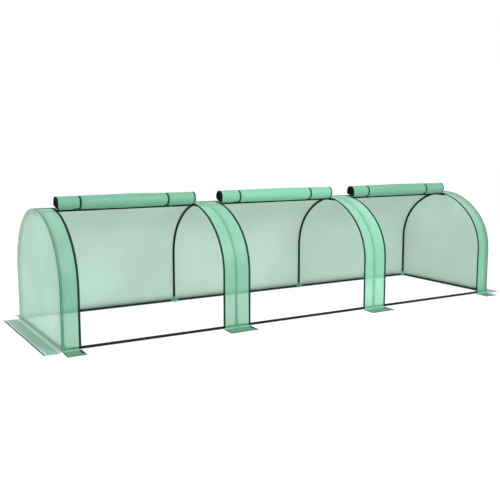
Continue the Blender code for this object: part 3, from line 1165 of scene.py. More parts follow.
@dataclass
class Frame:
    """Steel hoops, ground bars and ridge bars with their moulded connectors."""

    plan: Plan
    finishes: Finishes
    tube: float = 0.0172
    front_tube: float = 0.0150
    bar_tube: float = 0.0174
    wall: float = 0.0008
    bend_steps: tuple[int, int] = (16, 22)
    crown_gap: float = 0.0006
    ridge_tube: float = 0.012
    ridge_rise: float = 0.0066
    ridge_steps: int = 100
    joggle: tuple[float, float] = (0.030, 0.050)
    connector: float = 0.0105
    rounding: float = 0.0028
    sleeve_inset: float = 0.0005
    collar_inset: float = 0.00005
    collar: tuple[float, float] = (0.0045, 0.0008)
    bore_depth: float = 0.05
    clearance: float = 0.0003
    arm: float = 0.030
    sides: int = 24

    def build(self) -> None:
        """Builds the whole frame."""
        self.hoops()
        self.bars()
        self.connectors()
        for number in range(1, BAYS + 2):
            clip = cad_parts[f"ridge_clip_{number}"]
            clip.data.materials.clear()
            clip.data.materials.append(self.finishes.clip)

    def dress_tube(self, tube: Piece, finish: bpy.types.Material, node: str) -> None:
        """Gives a drawn tube its wall and its finish.

        Args:
            tube: the tube.
            finish: its finish.
            node: the node that it stands for.
        """
        thicken(tube, self.wall, -1.0)
        dress(tube, finish, ROOT, "frame_tube", node)

    def hoops(self) -> None:
        """Bent half hoops that stop just short of each other at the crown, the front one a thinner tube."""
        arch, steps = self.plan.arch, self.bend_steps
        foot = 2 * self.connector + self.clearance
        for number, x in enumerate(self.plan.hoops(), 1):
            for face in Face:
                sign = -face.value
                shoulder = (x, face.value * arch.shoulder_y, arch.shoulder_z)
                moves = [
                    Straight((0.0, 0.0, arch.shoulder_z - foot)),
                    Bend(shoulder, sign * arch.shoulder_turn, steps[0]),
                    Bend((x, 0.0, arch.crown_z), sign * (arch.crown_turn - self.crown_gap), steps[1]),
                ]
                start = (x, face.value * arch.half_width, foot)
                radius = (self.front_tube if face is Face.FRONT else self.tube) / 2
                tube = sweep(
                    f"hoop_tube_{number}_{face.word}", radius, self.sides, start, (0.0, 0.0, 0.0), moves
                )
                self.dress_tube(tube, self.finishes.steel, f"hoop_{number}_{face.word}")

    def bars(self) -> None:
        """Ground bars between the connectors, and ridge bars between the clips."""
        hoops, half_width, level = self.plan.hoops(), self.plan.arch.half_width, self.connector
        inset = self.connector + self.clearance
        for bay in range(BAYS):
            for face in Face:
                y = face.value * half_width
                finish = self.finishes.bar if face is Face.FRONT else self.finishes.steel
                ends = (hoops[bay] + inset, y, level), (hoops[bay + 1] - inset, y, level)
                self.bar(f"{face.word}_bar_{bay + 1}", *ends, finish)
            self.ridge_bar(bay)
        for side in Side:
            x = side.value * self.plan.hoop_reach
            ends = (x, inset - half_width, level), (x, half_width - inset, level)
            self.bar(f"end_bar_{side.word}", *ends, self.finishes.steel)

    def ridge_bar(self, bay: int) -> None:
        """A bar under the ridge, joggled up between its two clips until it is close under the film.

        Args:
            bay: the bay that it crosses, from 0.
        """
        node = f"ridge_bar_{bay + 1}"
        low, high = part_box(node)
        start = (low.x, 0.0, (low.z + high.z) / 2)
        steps = [Straight(((high.x - low.x) / self.ridge_steps, 0.0, 0.0))] * self.ridge_steps
        tube = sweep(node + "_tube", self.ridge_tube / 2, self.sides, start, (0.0, pi / 2, 0.0), steps)
        points = points_of(tube)
        from_end = np.minimum(points[:, 0] - low.x, high.x - points[:, 0])
        points[:, 2] += self.ridge_rise * ease((from_end - self.joggle[0]) / self.joggle[1])
        set_points(tube, points)
        self.dress_tube(tube, self.finishes.steel, node)

    def bar(self, node: str, start: Place, end: Place, finish: bpy.types.Material) -> None:
        """A straight ground bar.

        Args:
            node: the node that it stands for.
            start: the middle of its first end.
            end: the middle of its other end.
            finish: its finish.
        """
        run = Vector(end) - Vector(start)
        facing = tuple(run.to_track_quat("Z", "Y").to_euler())
        tube = sweep(node + "_tube", self.bar_tube / 2, self.sides, start, facing, [Straight(tuple(run))])
        self.dress_tube(tube, finish, node)

    def connectors(self) -> None:
        """Corner and tee connectors, each a rounded block with a collared socket for every tube."""
        up, along = (0, 0, 1), ((1, 0, 0), (-1, 0, 0))
        for face in Face:
            y, inwards = face.value * self.plan.arch.half_width, (0, -face.value, 0)
            for side in Side:
                place = (side.value * self.plan.hoop_reach, y, self.connector)
                arms = [(-side.value, 0, 0), inwards, up]
                self.one_connector(f"corner_{face.word}_{side.word}", place, arms)
            for number, x in enumerate(self.plan.hoops()[1:-1], 1):
                self.one_connector(f"tee_{face.word}_{number}", (x, y, self.connector), [*along, up])

    def one_connector(self, node: str, place: Place, arms: Sequence[Place]) -> None:
        """One connector with a socket along each arm.

        Args:
            node: the node that it stands for.
            place: the middle of its block.
            arms: the direction of each socket.
        """
        half, middle = self.connector, Vector(place)
        corner = Vector((half,) * 3)
        piece = box(node + "_moulding", tuple(middle - corner), tuple(middle + corner))
        round_edges(piece, self.rounding, segments=3)

        def part(radius: float, out: Vector, start: float, end: float) -> Piece:
            """A rod along an arm, from and to these distances from the middle."""
            return rod("part", radius, tuple(middle + start * out), tuple(middle + end * out))

        for out in map(Vector, arms):
            combine(piece, part(half - self.sleeve_inset, out, 0.0, self.arm), "UNION")
            rim = (self.arm - inset for inset in self.collar)
            combine(piece, part(half - self.collar_inset, out, *rim), "UNION")
        for out in map(Vector, arms):
            bore = (self.tube if out.z else self.bar_tube) / 2 + self.clearance
            combine(piece, part(bore, out, half, self.bore_depth))
        smooth(piece, angle=30.0)
        dress(piece, self.finishes.plastic, ROOT, "connector", node)


# ---- The cover ----


@dataclass(frozen=True)
class Panel:
    """One sewn panel of the cover: how it is cut, how it hangs and what it is made of."""

    name: str
    hem_name: str
    node: str
    hoop: str
    across: Points
    rows: Points
    hem_rows: Points
    shape: Drape
    film: bpy.types.Material
    # The finish of the part on the ground, a darker copy of the film: painted shade.
    ground: bpy.types.Material
    hem: bpy.types.Material
    flat: tuple[float, float]
    area: float | None = None
    upright: bool = False


@dataclass
class Cover:
    """The sewn cover: roof and back in one sheet, flat ends, and bands over the front of the hoops.

    Each pair of waves is a depth and a length. The end rows are the steps up, out and along the hem. The
    slopes say how fast a sheet comes free of the ridge and ground, or an end of its top, foot and sides.
    The next seeds are added to a sheet's own seed for its short waves and for its skirt's.
    """

    plan: Plan
    finishes: Finishes
    row: float = 0.012
    column: float = 0.022
    band_column: float = 0.016
    end_column: float = 0.018
    end_rows: tuple[float, float, float] = (0.025, 0.1, 0.06)
    hem: float = 0.024
    hem_rise: float = 0.0011
    # The width of the painted shadow along a hem's outer edge.
    bound: float = 0.008
    ground_x: float = 0.004
    ground_y: float = 0.006
    # The width of the painted highlight beside an end panel's fold.
    fold_strip: float = 0.018
    pull_in: float = 0.0022
    pull_power: float = 0.6
    slopes: tuple[float, float] = (4.0, 14.0)
    next_seeds: tuple[int, int] = (1, 5)
    roof_seed: int = 10
    end_seeds: tuple[int, int] = (30, 40)
    band_seed: int = 60
    waves: tuple[float, float] = (0.0011, 0.42)
    short_waves: tuple[float, float] = (0.0005, 0.13)
    skirt_waves: tuple[float, float] = (0.0016, 0.35)
    skirt_rise: tuple[float, float] = (0.0018, 0.006)
    lift_power: float = 1.5
    zip_gap: float = 0.004
    seam_gap: float = 0.0006
    flap_start: float = 0.012
    flap_turn: float = 0.008
    flap_reaches: tuple[float, ...] = (0.018, 0.010, 0.007, 0.006)
    flap_edges: tuple[float, float] = (0.007, 0.018)
    end_skirt: float = 0.114
    end_bow: float = 0.0015
    end_waves: tuple[float, float] = (0.0016, 0.30)
    end_skirt_waves: tuple[float, float] = (0.0006, 0.3)
    end_half: float = 0.5
    end_slopes: tuple[float, float, float] = (6.0, 8.0, 5.0)
    end_wide: float = 0.027
    wide_start: float = 0.02
    end_turn: float = 0.016
    piping_inset: float = 0.0004
    piping_rise: float = 0.0012
    piping_row: float = 0.02
    piping_sides: int = 10
    piping_runs: tuple[float, float] = (0.25, 0.55)
    pipings: tuple[tuple[float, float], ...] = ((0.0012, 0.0004), (0.0025, 0.0012))
    ridge_piping: float = 0.0022
    ridge_rise: float = 0.0016
    ridge_inset: float = 0.003

    def build(self) -> None:
        """Builds every sheet of the cover."""
        self.roof_and_back()
        for side in Side:
            self.end_panel(side)
            self.end_piping(side)
        for number in range(1, BAYS + 2):
            self.front_band(number)
        self.ridge_seam()

    @property
    def foot(self) -> float:
        """The distance from the ridge to the ground along the cover."""
        return self.plan.arch.half_length(self.plan.cover)

    @property
    def ground_side(self) -> float:
        """How far from the middle the cover lies on the ground, along the front and the back."""
        return self.plan.arch.half_width + self.plan.cover + self.ground_y

    def rise(self, x: Points, run: Points, seed: int) -> Points:
        """How far a sheet strays from the arch: in between the hoops, and up on the ground.

        Args:
            x: places along the tunnel.
            run: distances from the ridge.
            seed: the seed of this sheet's waves.

        Returns:
            The rise of each place, negative inwards.
        """
        hoops = self.plan.hoops()
        bay = (hoops[1] - hoops[0]) / 2
        away = np.abs((x - hoops[0]) / bay % 2 - 1)
        along = ramp(np.abs(run) / self.foot)
        from_ridge, from_ground = self.slopes
        free = ramp(from_ridge * along) * ramp(from_ground * (1 - along))
        short, skirt = (seed + more for more in self.next_seeds)
        waves = Slack(*self.waves, seed).at(x, run) + Slack(*self.short_waves, short).at(x, run)
        pull = ramp(1 - away**2) ** self.pull_power * free * (waves - self.pull_in)
        out = ramp((np.abs(run) - self.foot) / self.plan.skirt)
        return pull + self.skirt_lift(out, Slack(*self.skirt_waves, skirt).at(x, run))

    def skirt_lift(self, out: Points, waves: Points) -> Points:
        """How far a skirt stands off the ground, more towards its free edge.

        Args:
            out: the share of the way to that edge.
            waves: its waves there.

        Returns:
            The height of each place.
        """
        low, high = self.skirt_rise
        return out**self.lift_power * np.clip(low + waves, 0.0, high)

    def drape(self, seed: int) -> Drape:
        """The shape of a sheet over the arch and out along the ground, with waves of its own."""
        plan = self.plan
        return lambda x, run: (x, *plan.arch.at(run, plan.cover, self.rise(x, run, seed)))

    def sew(self, panel: Panel) -> tuple[Piece, Piece]:
        """Makes a panel and its hem, with the part on the ground in a darker finish: painted shade.

        Args:
            panel: the panel.

        Returns:
            The sheet and its hem.
        """
        pieces = []
        for name, rows, rise in (
            (panel.name, panel.rows, 0.0),
            (panel.hem_name, panel.hem_rows, self.hem_rise),
        ):
            piece = cut_sheet(name, panel.across, rows)
            lay(piece, panel.shape)
            set_points(piece, points_of(piece) + (0.0, 0.0, rise))
            if panel.upright:
                self.flat_map(piece)
            thicken(piece, self.plan.film)
            pieces.append(piece)
        sheet, hem = pieces
        dress(sheet, panel.film, ROOT, "cover_film", panel.node)
        dress(hem, panel.hem, ROOT, "cover_film")
        end, side = self.plan.half_length + self.ground_x, self.ground_side
        # The part on the ground gets the darker ground finish: painted shade of the floor beneath.
        paint(sheet, panel.ground, lambda at: abs(at.x) > end or abs(at.y) > side)
        sheet.name
        return sheet, hem

    def paint_edge_shadow(self, hem: Piece) -> None:
        """Paints the outermost strip of a hem dark: painted shadow under its lifted edge.

        Args:
            hem: the hem, in its place.
        """
        out_x = self.plan.half_length + self.end_skirt - self.bound
        out_y = self.plan.arch.half_width + self.plan.cover + self.plan.skirt - self.bound
        paint(hem, self.finishes.edge_shadow_and_tape, lambda at: abs(at.x) > out_x or abs(at.y) > out_y)

    def roof_and_back(self) -> None:
        """The sheet from the ridge down the back, with its skirt and the hem along it."""
        edge, length, finishes = self.plan.edge, self.foot + self.plan.skirt, self.finishes
        panel = Panel(
            name="roof_back_sheet",
            hem_name="back_hem",
            node="roof_back_panel",
            hoop="hoop_tube_2_back",
            across=spaced(-edge, edge, self.column, *self.plan.hoops()),
            rows=spaced(0.0, length, self.row),
            hem_rows=spaced(length - self.hem, length, self.row / 2, length - self.bound),
            shape=self.drape(self.roof_seed),
            film=finishes.cover,
            ground=finishes.skirt,
            hem=finishes.hem,
            flat=(2 * edge, length),
        )
        self.paint_edge_shadow(self.sew(panel)[1])

    def end_shape(self, side: Side, offset: float) -> Drape:
        """The shape of an end panel.

        Args:
            side: which end.
            offset: how far outside the hoops' centre line its edge lies.

        Returns:
            X, Y and Z for the distance over the arch, and for the share of the way up. From 0 down to -1
            that is the share of the way out to the skirt's free edge.
        """
        arch, reach, skirt = self.plan.arch, self.plan.half_length - self.plan.film / 2, self.end_skirt
        high, low = (seed + side.value for seed in self.end_seeds)
        ruffle, lift = Slack(*self.end_waves, high), Slack(*self.end_skirt_waves, low)

        def shape(run: Points, row: Points) -> Shape:
            """Stands the flat sheet up inside the arch, with its lowest rows along the ground.

            Args:
                run: distances over the arch.
                row: shares of the way up, or out below 0.

            Returns:
                X, Y and Z.
            """
            y, top = arch.at(run * side.value, offset)
            share, out = ramp(row), ramp(-row)
            from_top, from_foot, from_side = self.end_slopes
            near = ramp(from_top * (1 - share)) * ramp(from_foot * share)
            near = near * ramp(from_side * (1 - np.abs(y) / self.end_half))
            z = arch.ground + share * (top - arch.ground) + self.skirt_lift(out, lift.at(y, skirt * out))
            bow = near * (ruffle.at(y, z) - self.end_bow)
            front = 0.5 - 0.5 * y / arch.half_width
            wide = front * self.end_wide * ramp(skirt * out / self.wide_start)
            turned = (1 - front) * self.end_turn * out
            return side.value * (reach + bow + skirt * out), y - wide - turned, z

        return shape

    def end_panel(self, side: Side) -> None:
        """A flat end panel that folds out on the ground as a skirt, with a painted highlight by the fold.

        Args:
            side: which end.
        """
        arch, finishes, skirt = self.plan.arch, self.finishes, self.end_skirt
        offset = self.plan.cover + self.plan.film / 2
        over = sum(arch.lengths(offset)[:2])
        up_step, out_step, hem_step = self.end_rows
        width = 2 * (arch.half_width + offset)
        panel = Panel(
            name=f"end_sheet_{side.word}",
            hem_name=f"end_hem_{side.word}",
            node=f"end_panel_{side.word}",
            hoop=f"hoop_tube_{1 if side is Side.LEFT else BAYS + 1}_back",
            across=spaced(-over, over, self.end_column),
            rows=np.concatenate([spaced(-1.0, 0.0, out_step)[:-1], spaced(0.0, 1.0, up_step)]),
            hem_rows=spaced(-1.0, self.hem / skirt - 1.0, hem_step, self.bound / skirt - 1.0),
            shape=self.end_shape(side, offset),
            film=finishes.end,
            ground=finishes.skirt,
            hem=finishes.hem,
            flat=(width, arch.height + offset + skirt),
            area=self.panel_area(offset) + skirt * width,
            upright=True,
        )
        sheet, hem = self.sew(panel)
        start = self.plan.half_length + self.ground_x
        # A painted highlight beside the fold, in the hem's lighter finish.
        paint(sheet, finishes.hem, lambda at: start < abs(at.x) < start + self.fold_strip)
        self.paint_edge_shadow(hem)

    def panel_area(self, offset: float) -> float:
        """The flat area inside an end panel's arch.

        Args:
            offset: how far outside the hoops' centre line the edge lies.

        Returns:
            The area in square metres.
        """
        run = np.linspace(0.0, self.plan.arch.half_length(offset), num=400)
        y, z = self.plan.arch.at(run, offset)
        return 2 * float(np.trapz(np.minimum(z, z[0]), np.minimum(y, self.plan.arch.half_width + offset)))

    def flat_map(self, sheet: Piece) -> None:
        """Gives an end panel a UV map in metres from where it stands."""
        x, y, z = points_of(sheet).T
        set_map(sheet, np.column_stack([y, z - np.maximum(np.abs(x) - self.plan.half_length, 0.0)]))

    def end_piping(self, side: Side) -> None:
        """The piping in the seam between an end panel and the sheets over the hoops, thinner at the back.

        Args:
            side: which end.
        """
        arch, x = self.plan.arch, side.value * (self.plan.half_length - self.piping_inset)
        offset = self.plan.cover + self.piping_rise
        reach = sum(arch.lengths(offset)[:3])
        around = np.linspace(0.0, 2 * pi, self.piping_sides + 1)
        along = spaced(-reach, reach, self.piping_row)
        piping = cut_sheet(f"end_piping_{side.word}", around, along)

        def shape(turn: Points, run: Points) -> Shape:
            """Rolls the flat strip into a cord along the seam."""
            radius = np.interp(run, self.piping_runs, self.pipings[side is Side.RIGHT])
            return (x + radius * np.cos(turn), *arch.at(run, offset, radius * np.sin(turn)))

        lay(piping, shape)
        close_ends(piping)
        smooth(piping)
        dress(piping, self.finishes.piping, ROOT, "cover_film")

    def front_band(self, number: int) -> None:
        """A band over the front of a hoop, with its flap on the ground and a hem along it.

        Args:
            number: the band's number, from 1 at the left.
        """
        left, right = self.plan.band_span(number)
        inner_left = left + (self.zip_gap if number > 1 else 0.0)
        inner_right = right - (self.zip_gap if number <= BAYS else 0.0)
        length = self.foot + self.plan.skirt
        edges = inner_left + self.flap_edges[0], inner_right - self.flap_edges[1]
        base = self.drape(self.band_seed + number)

        def shape(x: Points, run: Points) -> Shape:
            """Widens the flap to the zips' edges, and turns it a little to the left as it lies.

            Args:
                x: places along the tunnel.
                run: distances from the ridge, negative.

            Returns:
                X, Y and Z.
            """
            past = -run - self.foot
            share = (x - inner_left) / (inner_right - inner_left)
            wider = (left - inner_left) * (1 - share) + (right - inner_right) * share
            wide, out = x + ramp(past / self.flap_start + 1) * wider, ramp(past / self.plan.skirt)
            _, y, z = base(x, run)
            return wide - self.flap_turn * out, y - self.flap_reaches[number - 1] * out, z

        def at_edge(at: Vector) -> bool:
            """Whether a place on the ground is beside the left or right edge of the flap before it turns.

            Args:
                at: the middle of a face.

            Returns:
                Whether it is.
            """
            out = abs(at.y) - self.ground_side
            x = at.x + self.flap_turn * out / self.plan.skirt
            return out > 0 and (x < left + self.flap_edges[0] or x > right - self.flap_edges[1])

        panel = Panel(
            name=f"band_sheet_{number}",
            hem_name=f"band_hem_{number}",
            node=f"front_band_{number}",
            hoop=f"hoop_tube_{number}_front",
            across=spaced(inner_left, inner_right, self.band_column, *edges),
            rows=spaced(-length, -self.seam_gap, self.row),
            hem_rows=spaced(-length, self.hem - length, self.row / 2),
            shape=shape,
            film=self.finishes.bands[number - 1],
            ground=self.finishes.flap,
            hem=self.finishes.flap,
            flat=(inner_right - inner_left, length),
        )
        # The flap's edge strips are painted dark: on the right for the zip tape that runs on to it, on the
        # left as painted shadow under its lifted edge.
        paint(self.sew(panel)[0], self.finishes.edge_shadow_and_tape, at_edge)

    def ridge_seam(self) -> None:
        """The piping in the seam along the ridge, where the bands and doors meet the roof."""
        z = self.plan.arch.height + self.plan.cover + self.ridge_rise
        reach = self.plan.half_length - self.ridge_inset
        piping = rod("ridge_piping", self.ridge_piping, (-reach, 0.0, z), (reach, 0.0, z), sides=12)
        smooth(piping)
        dress(piping, self.finishes.piping, ROOT, "cover_film")


# ---- The zips ----


@dataclass(frozen=True)
class Slider:
    """The patterns of a zip's slider and its pull tab, round the zip's middle with their length along Y."""

    plate: Place = (0.0050, 0.011, 0.00065)
    levels: tuple[float, float] = (-0.00345, 0.00335)
    waist: float = 0.28
    post_radius: float = 0.0013
    post_y: float = 0.006
    post_reach: float = 0.0030
    bail: Place = (0.0012, 0.007, 0.0013)
    bail_level: float = 0.0049
    bail_hole: Place = (0.01, 0.0052, 0.00095)
    bail_hole_level: float = 0.00395
    bail_bevel: float = 0.0005
    bevel: float = 0.0004
    tab_half: float = 0.004
    tab_levels: tuple[float, float] = (0.0038, 0.0053)
    tab_places: tuple[float, ...] = (-0.040, -0.012, -0.004)
    tab_widths: tuple[float, ...] = (1.0, 0.72, 0.9)
    eye_radius: float = 0.0022
    eye_y: float = -0.0350
    slot_half: float = 0.0022
    slot_y: tuple[float, float] = (-0.0095, -0.0060)
    through: float = 0.01
    sharp: float = 35.0

    def body(self) -> Piece:
        """The two waisted plates, the post between them and the bail that holds the tab.

        Returns:
            The slider.
        """
        parts = []
        for level in self.levels:
            plate = block("plate", self.plate, level)
            bpy.ops.object.mode_set(mode="EDIT")
            bpy.ops.mesh.select_all(action="SELECT")
            bpy.ops.mesh.subdivide(number_cuts=3)
            bpy.ops.object.mode_set(mode="OBJECT")
            points = points_of(plate)
            points[:, 0] *= 1.0 - self.waist * ramp(-points[:, 1] / self.plate[1]) ** 2
            set_points(plate, points)
            round_edges(plate, self.bevel)
            parts.append(plate)
        ends = ((0.0, self.post_y, sign * self.post_reach) for sign in (-1, 1))
        parts.append(rod("post", self.post_radius, *ends, sides=12))
        bail = block("bail", self.bail, self.bail_level)
        combine(bail, block("hole", self.bail_hole, self.bail_hole_level))
        round_edges(bail, self.bail_bevel)
        body = join([*parts, bail], "slider_pattern")
        smooth(body, self.sharp)
        return body

    def tab(self) -> Piece:
        """The pull tab that lies along the cover from the bail, with an eye at its end.

        Returns:
            The pull tab.
        """
        (low, high), half, places = self.tab_levels, self.tab_half, self.tab_places
        tab = box("pull_pattern", (-half, places[0], low), (half, places[-1], high))
        eye = (0.0, self.eye_y, 0.0), (0.0, self.eye_y, self.through)
        combine(tab, rod("eye", self.eye_radius, *eye, sides=20))
        (start, end), half = self.slot_y, self.slot_half
        combine(tab, box("slot", (-half, start, 0.0), (half, end, self.through)))
        points = points_of(tab)
        points[:, 0] *= np.interp(points[:, 1], places, self.tab_widths)
        set_points(tab, points)
        round_edges(tab, self.bevel)
        smooth(tab, self.sharp)
        return tab


@dataclass(frozen=True)
class Edge:
    """One edge of a doorway, which has a zip."""

    bay: int
    side: Side
    x: float

    @property
    def name(self) -> str:
        """What the names of the zip's pieces and nodes end with."""
        return f"{self.bay + 1}_{self.side.word}"


@dataclass
class Zips:
    """The half of each zip that stays on a band, with its teeth, slider and pull tab."""

    plan: Plan
    finishes: Finishes
    teeth: Teeth = Teeth()
    slider: Slider = Slider()
    tape: float = 0.015
    tape_inset: float = 0.003
    tape_rise: float = 0.0009
    tape_top: float = 0.001
    teeth_top: float = 0.002
    step: float = 0.004
    row: float = 0.012
    slider_shift: float = 0.0012
    slider_turn: float = radians(3.0)

    def build(self) -> None:
        """Builds the six zips and their sliders."""
        patterns = self.slider.body(), self.slider.tab()
        for bay in range(BAYS):
            for side, x in zip(Side, self.plan.door(bay)):
                edge = Edge(bay, side, x)
                self.tape_strip(edge)
                self.chain(edge)
                self.place_slider(edge, *patterns)
        for pattern in patterns:
            bpy.data.objects.remove(pattern, do_unlink=True)

    def tape_strip(self, edge: Edge) -> None:
        """The woven tape that is sewn along a doorway's edge, just outside the band's film.

        Args:
            edge: the doorway's edge.
        """
        plan, start = self.plan, edge.x + (self.tape if edge.side is Side.RIGHT else -self.tape_inset)
        tape = hang(
            f"zip_tape_{edge.name}",
            spaced(0.0, self.tape - self.tape_inset, self.step),
            spaced(-plan.zip_length, -self.tape_top, self.row),
            lambda u, run: (start - u, *plan.arch.at(run, plan.cover, self.tape_rise)),
            plan.tape,
        )
        dress(tape, self.finishes.tape, ROOT, "zip_tape", f"zip_{edge.name}")

    def chain(self, edge: Edge) -> None:
        """The zip's teeth along the tape's edge.

        Args:
            edge: the doorway's edge.
        """
        run = -spaced(self.teeth_top, self.plan.zip_length, self.step)
        x = np.full(len(run), edge.x + edge.side.value * self.teeth.reach / 2)
        row = self.teeth.row(f"zip_teeth_{edge.name}", x, *self.plan.arch.at(run, self.plan.cover))
        dress(row, self.finishes.teeth, ROOT, "zip_tape")

    def place_slider(self, edge: Edge, slider: Piece, tab: Piece) -> None:
        """Puts a slider and its pull tab at the top of a zip.

        Args:
            edge: the doorway's edge.
            slider: the slider's pattern.
            tab: the pull tab's pattern.
        """
        arch = self.plan.arch
        middle = Matrix.Translation((edge.x + edge.side.value * self.slider_shift, 0.0, arch.crown_z))
        out = Matrix.Translation((0.0, 0.0, arch.crown_radius + self.plan.cover))
        place = middle @ Matrix.Rotation(self.slider_turn, 4, "X") @ out
        for pattern, name, nodes in (
            (slider, "zip_slider_body_", [f"zip_slider_{edge.name}"]),
            (tab, "zip_pull_tab_", []),
        ):
            made = copy_of(pattern, name + edge.name, place)
            dress(made, self.finishes.slider, f"slider_{edge.name}", "zip_slider", *nodes)


# ---- The rolled doors ----


@dataclass
class Door:
    """One door, rolled up and tied at the ridge, and the strip that it unrolls as it comes down.

    Sway and swell are the depth and length of the roll's waves. Bulge, pinch, creases and flare are a
    share of its radius and a width along it. Each spread is how far a door's two ends pass the solid's.
    Each pace is how far a wave goes on for an angle along the film.
    """

    plan: Plan
    finishes: Finishes
    bay: int
    teeth: Teeth = Teeth()
    roll: float = 0.088
    core: float = 0.020
    turns: float = 6.1
    angle: float = radians(7.1)
    rest_rise: float = 0.0118
    seam_rise: float = 0.0108
    sink: float = 0.003
    end_gap: float = 0.005
    sheet: float = 0.001
    clearance: float = 0.0003
    film: float = 0.0007
    film_insets: tuple[float, float] = (0.0075, 0.0105)
    column: float = 0.020
    end_column: float = 0.03
    tie_columns: tuple[float, float] = (0.04, 0.005)
    shown_turns: float = 1.25
    sway: tuple[float, float] = (0.005, 0.30)
    sway_pace: float = 0.05
    swell: tuple[float, float] = (0.004, 0.9)
    swell_pace: float = 1.5
    outer_steps: int = 60
    inner_steps: int = 24
    bulge: tuple[float, float] = (0.016, 0.06)
    pinch: tuple[float, float] = (0.085, 0.014)
    creases: tuple[float, float] = (0.009, 0.030)
    crease_paces: tuple[int, int] = (9, 3)
    flare: tuple[float, float] = (0.030, 0.022)
    belly: float = 0.095
    fullest: float = 1.025
    slips: tuple[float, float] = (0.0009, 0.0005)
    slip_paces: tuple[float, float] = (0.35, 1.1)
    slip_width: float = 0.03
    spreads: tuple[tuple[float, float], ...] = ((0.012, 0.011), (0.013, 0.003), (0.017, 0.001))
    spread_width: float = 0.05
    spread_up: tuple[float, float] = (0.032, 0.010)
    tape: float = 0.012
    tape_start: float = 0.0028
    tape_gap: float = 0.0001
    strip_column: float = 0.04
    strip_row: float = 0.001
    strip_top: float = 0.0006
    strip_tape_gap: float = 0.0008
    tie_insets: tuple[float, float] = (0.143, 0.195)
    tie_width: float = 0.013
    tie_thick: float = 0.0011
    tie_step: float = 0.004
    tie_turns: int = 40
    tie_back: tuple[float, ...] = (0.9, 0.5, 0.0)
    tie_squash: tuple[float, float] = (0.0017, 0.08)
    knot_angle: float = radians(238.0)
    knot_radius: float = 0.0080
    knot_sink: float = 0.001
    knot_squash: tuple[float, float, float] = (0.62, 0.08, 0.55)
    knot_lobes: int = 3
    tail_half: float = 0.0045
    tail_start: float = 0.004
    tail_reaches: tuple[float, float] = (0.040, 0.020)
    long_tailed: tuple[int, ...] = (0, 1)
    tails: tuple[tuple[float, float], ...] = ((1.0, 0.004), (0.65, 0.007))
    tail_lean: tuple[float, float] = (0.5, 0.6)
    tail_in: float = 0.003
    seeds: tuple[int, int] = (100, 110)
    soft: float = 60.0
    travel: float = radians(104.0)
    stack_gap: float = 0.006
    stack: float = 0.12
    drop: float = 13.0
    reach: float = field(init=False)
    centre: tuple[float, float] = field(init=False)
    slope: float = field(init=False)
    top_edge: float = field(init=False)

    def __post_init__(self) -> None:
        """Works out where the roll's middle is, and how the top edge runs from the ridge to under it."""
        arch = self.plan.arch
        self.reach = arch.crown_radius + self.rest_rise + self.roll / 2 - self.sink
        self.centre = (-self.reach * sin(self.angle), arch.crown_z + self.reach * cos(self.angle))
        up = self.centre[1] - self.seam_z
        far = hypot(self.centre[0], up)
        clear = self.roll / 2 + self.clearance + self.sheet
        self.slope = asin(clear / far) - atan2(up, -self.centre[0])
        self.top_edge = sqrt(far**2 - clear**2)

    @property
    def seam_z(self) -> float:
        """The height of the cover's inner face at the ridge."""
        return self.plan.arch.height + self.seam_rise

    @property
    def radii(self) -> tuple[float, float]:
        """The radius of the rolled film's middle at its outer end, and its change up to the core."""
        skin = (self.roll - self.sheet) / 2
        return skin, (self.core + self.sheet) / 2 - skin

    def build(self) -> None:
        """Builds the door with its ties."""
        self.rolled_sheet()
        for side in Side:
            self.rolled_zip(side)
        self.strip()
        for side in Side:
            self.tie(side)

    @property
    def number(self) -> int:
        """The door's number, from 1 at the left."""
        return self.bay + 1

    @property
    def body(self) -> str:
        """The body that the roll moves with."""
        return f"door_{self.number}"

    @property
    def ends(self) -> tuple[float, float]:
        """The X of the two ends of the roll."""
        left, right = self.plan.door(self.bay)
        return left + self.end_gap, right - self.end_gap

    @property
    def ties(self) -> tuple[float, float]:
        """The X of the two ties."""
        left, right = self.ends
        return left + self.tie_insets[0], right - self.tie_insets[1]

    def beside_edge(self, away: Points | float, above: float) -> tuple[Points | float, Points | float]:
        """A place beside the top edge, the film from the ridge to the roll.

        Args:
            away: the distance from the ridge along its inner face.
            above: how far above that face it is.

        Returns:
            Y and Z.
        """
        c, s = cos(self.slope), sin(self.slope)
        return -away * c - above * s, self.seam_z - away * s + above * c

    def radius(self, wound: Points) -> Points:
        """The radius of the rolled film's middle, this angle along it from its outer end."""
        skin, change = self.radii
        return skin + change * wound / (2 * pi * self.turns)

    def run(self, wound: Points) -> Points:
        """The length of film wound up to this angle."""
        skin, change = self.radii
        return skin * wound + change * wound**2 / (4 * pi * self.turns)

    def windings(self) -> Points:
        """Angles along the film from its outer end, closer together on the turn that shows."""
        shown = np.linspace(0.0, 2 * pi * self.shown_turns, round(self.shown_turns * self.outer_steps) + 1)
        return spaced(0.0, 2 * pi * self.turns, 2 * pi / self.inner_steps, *shown)

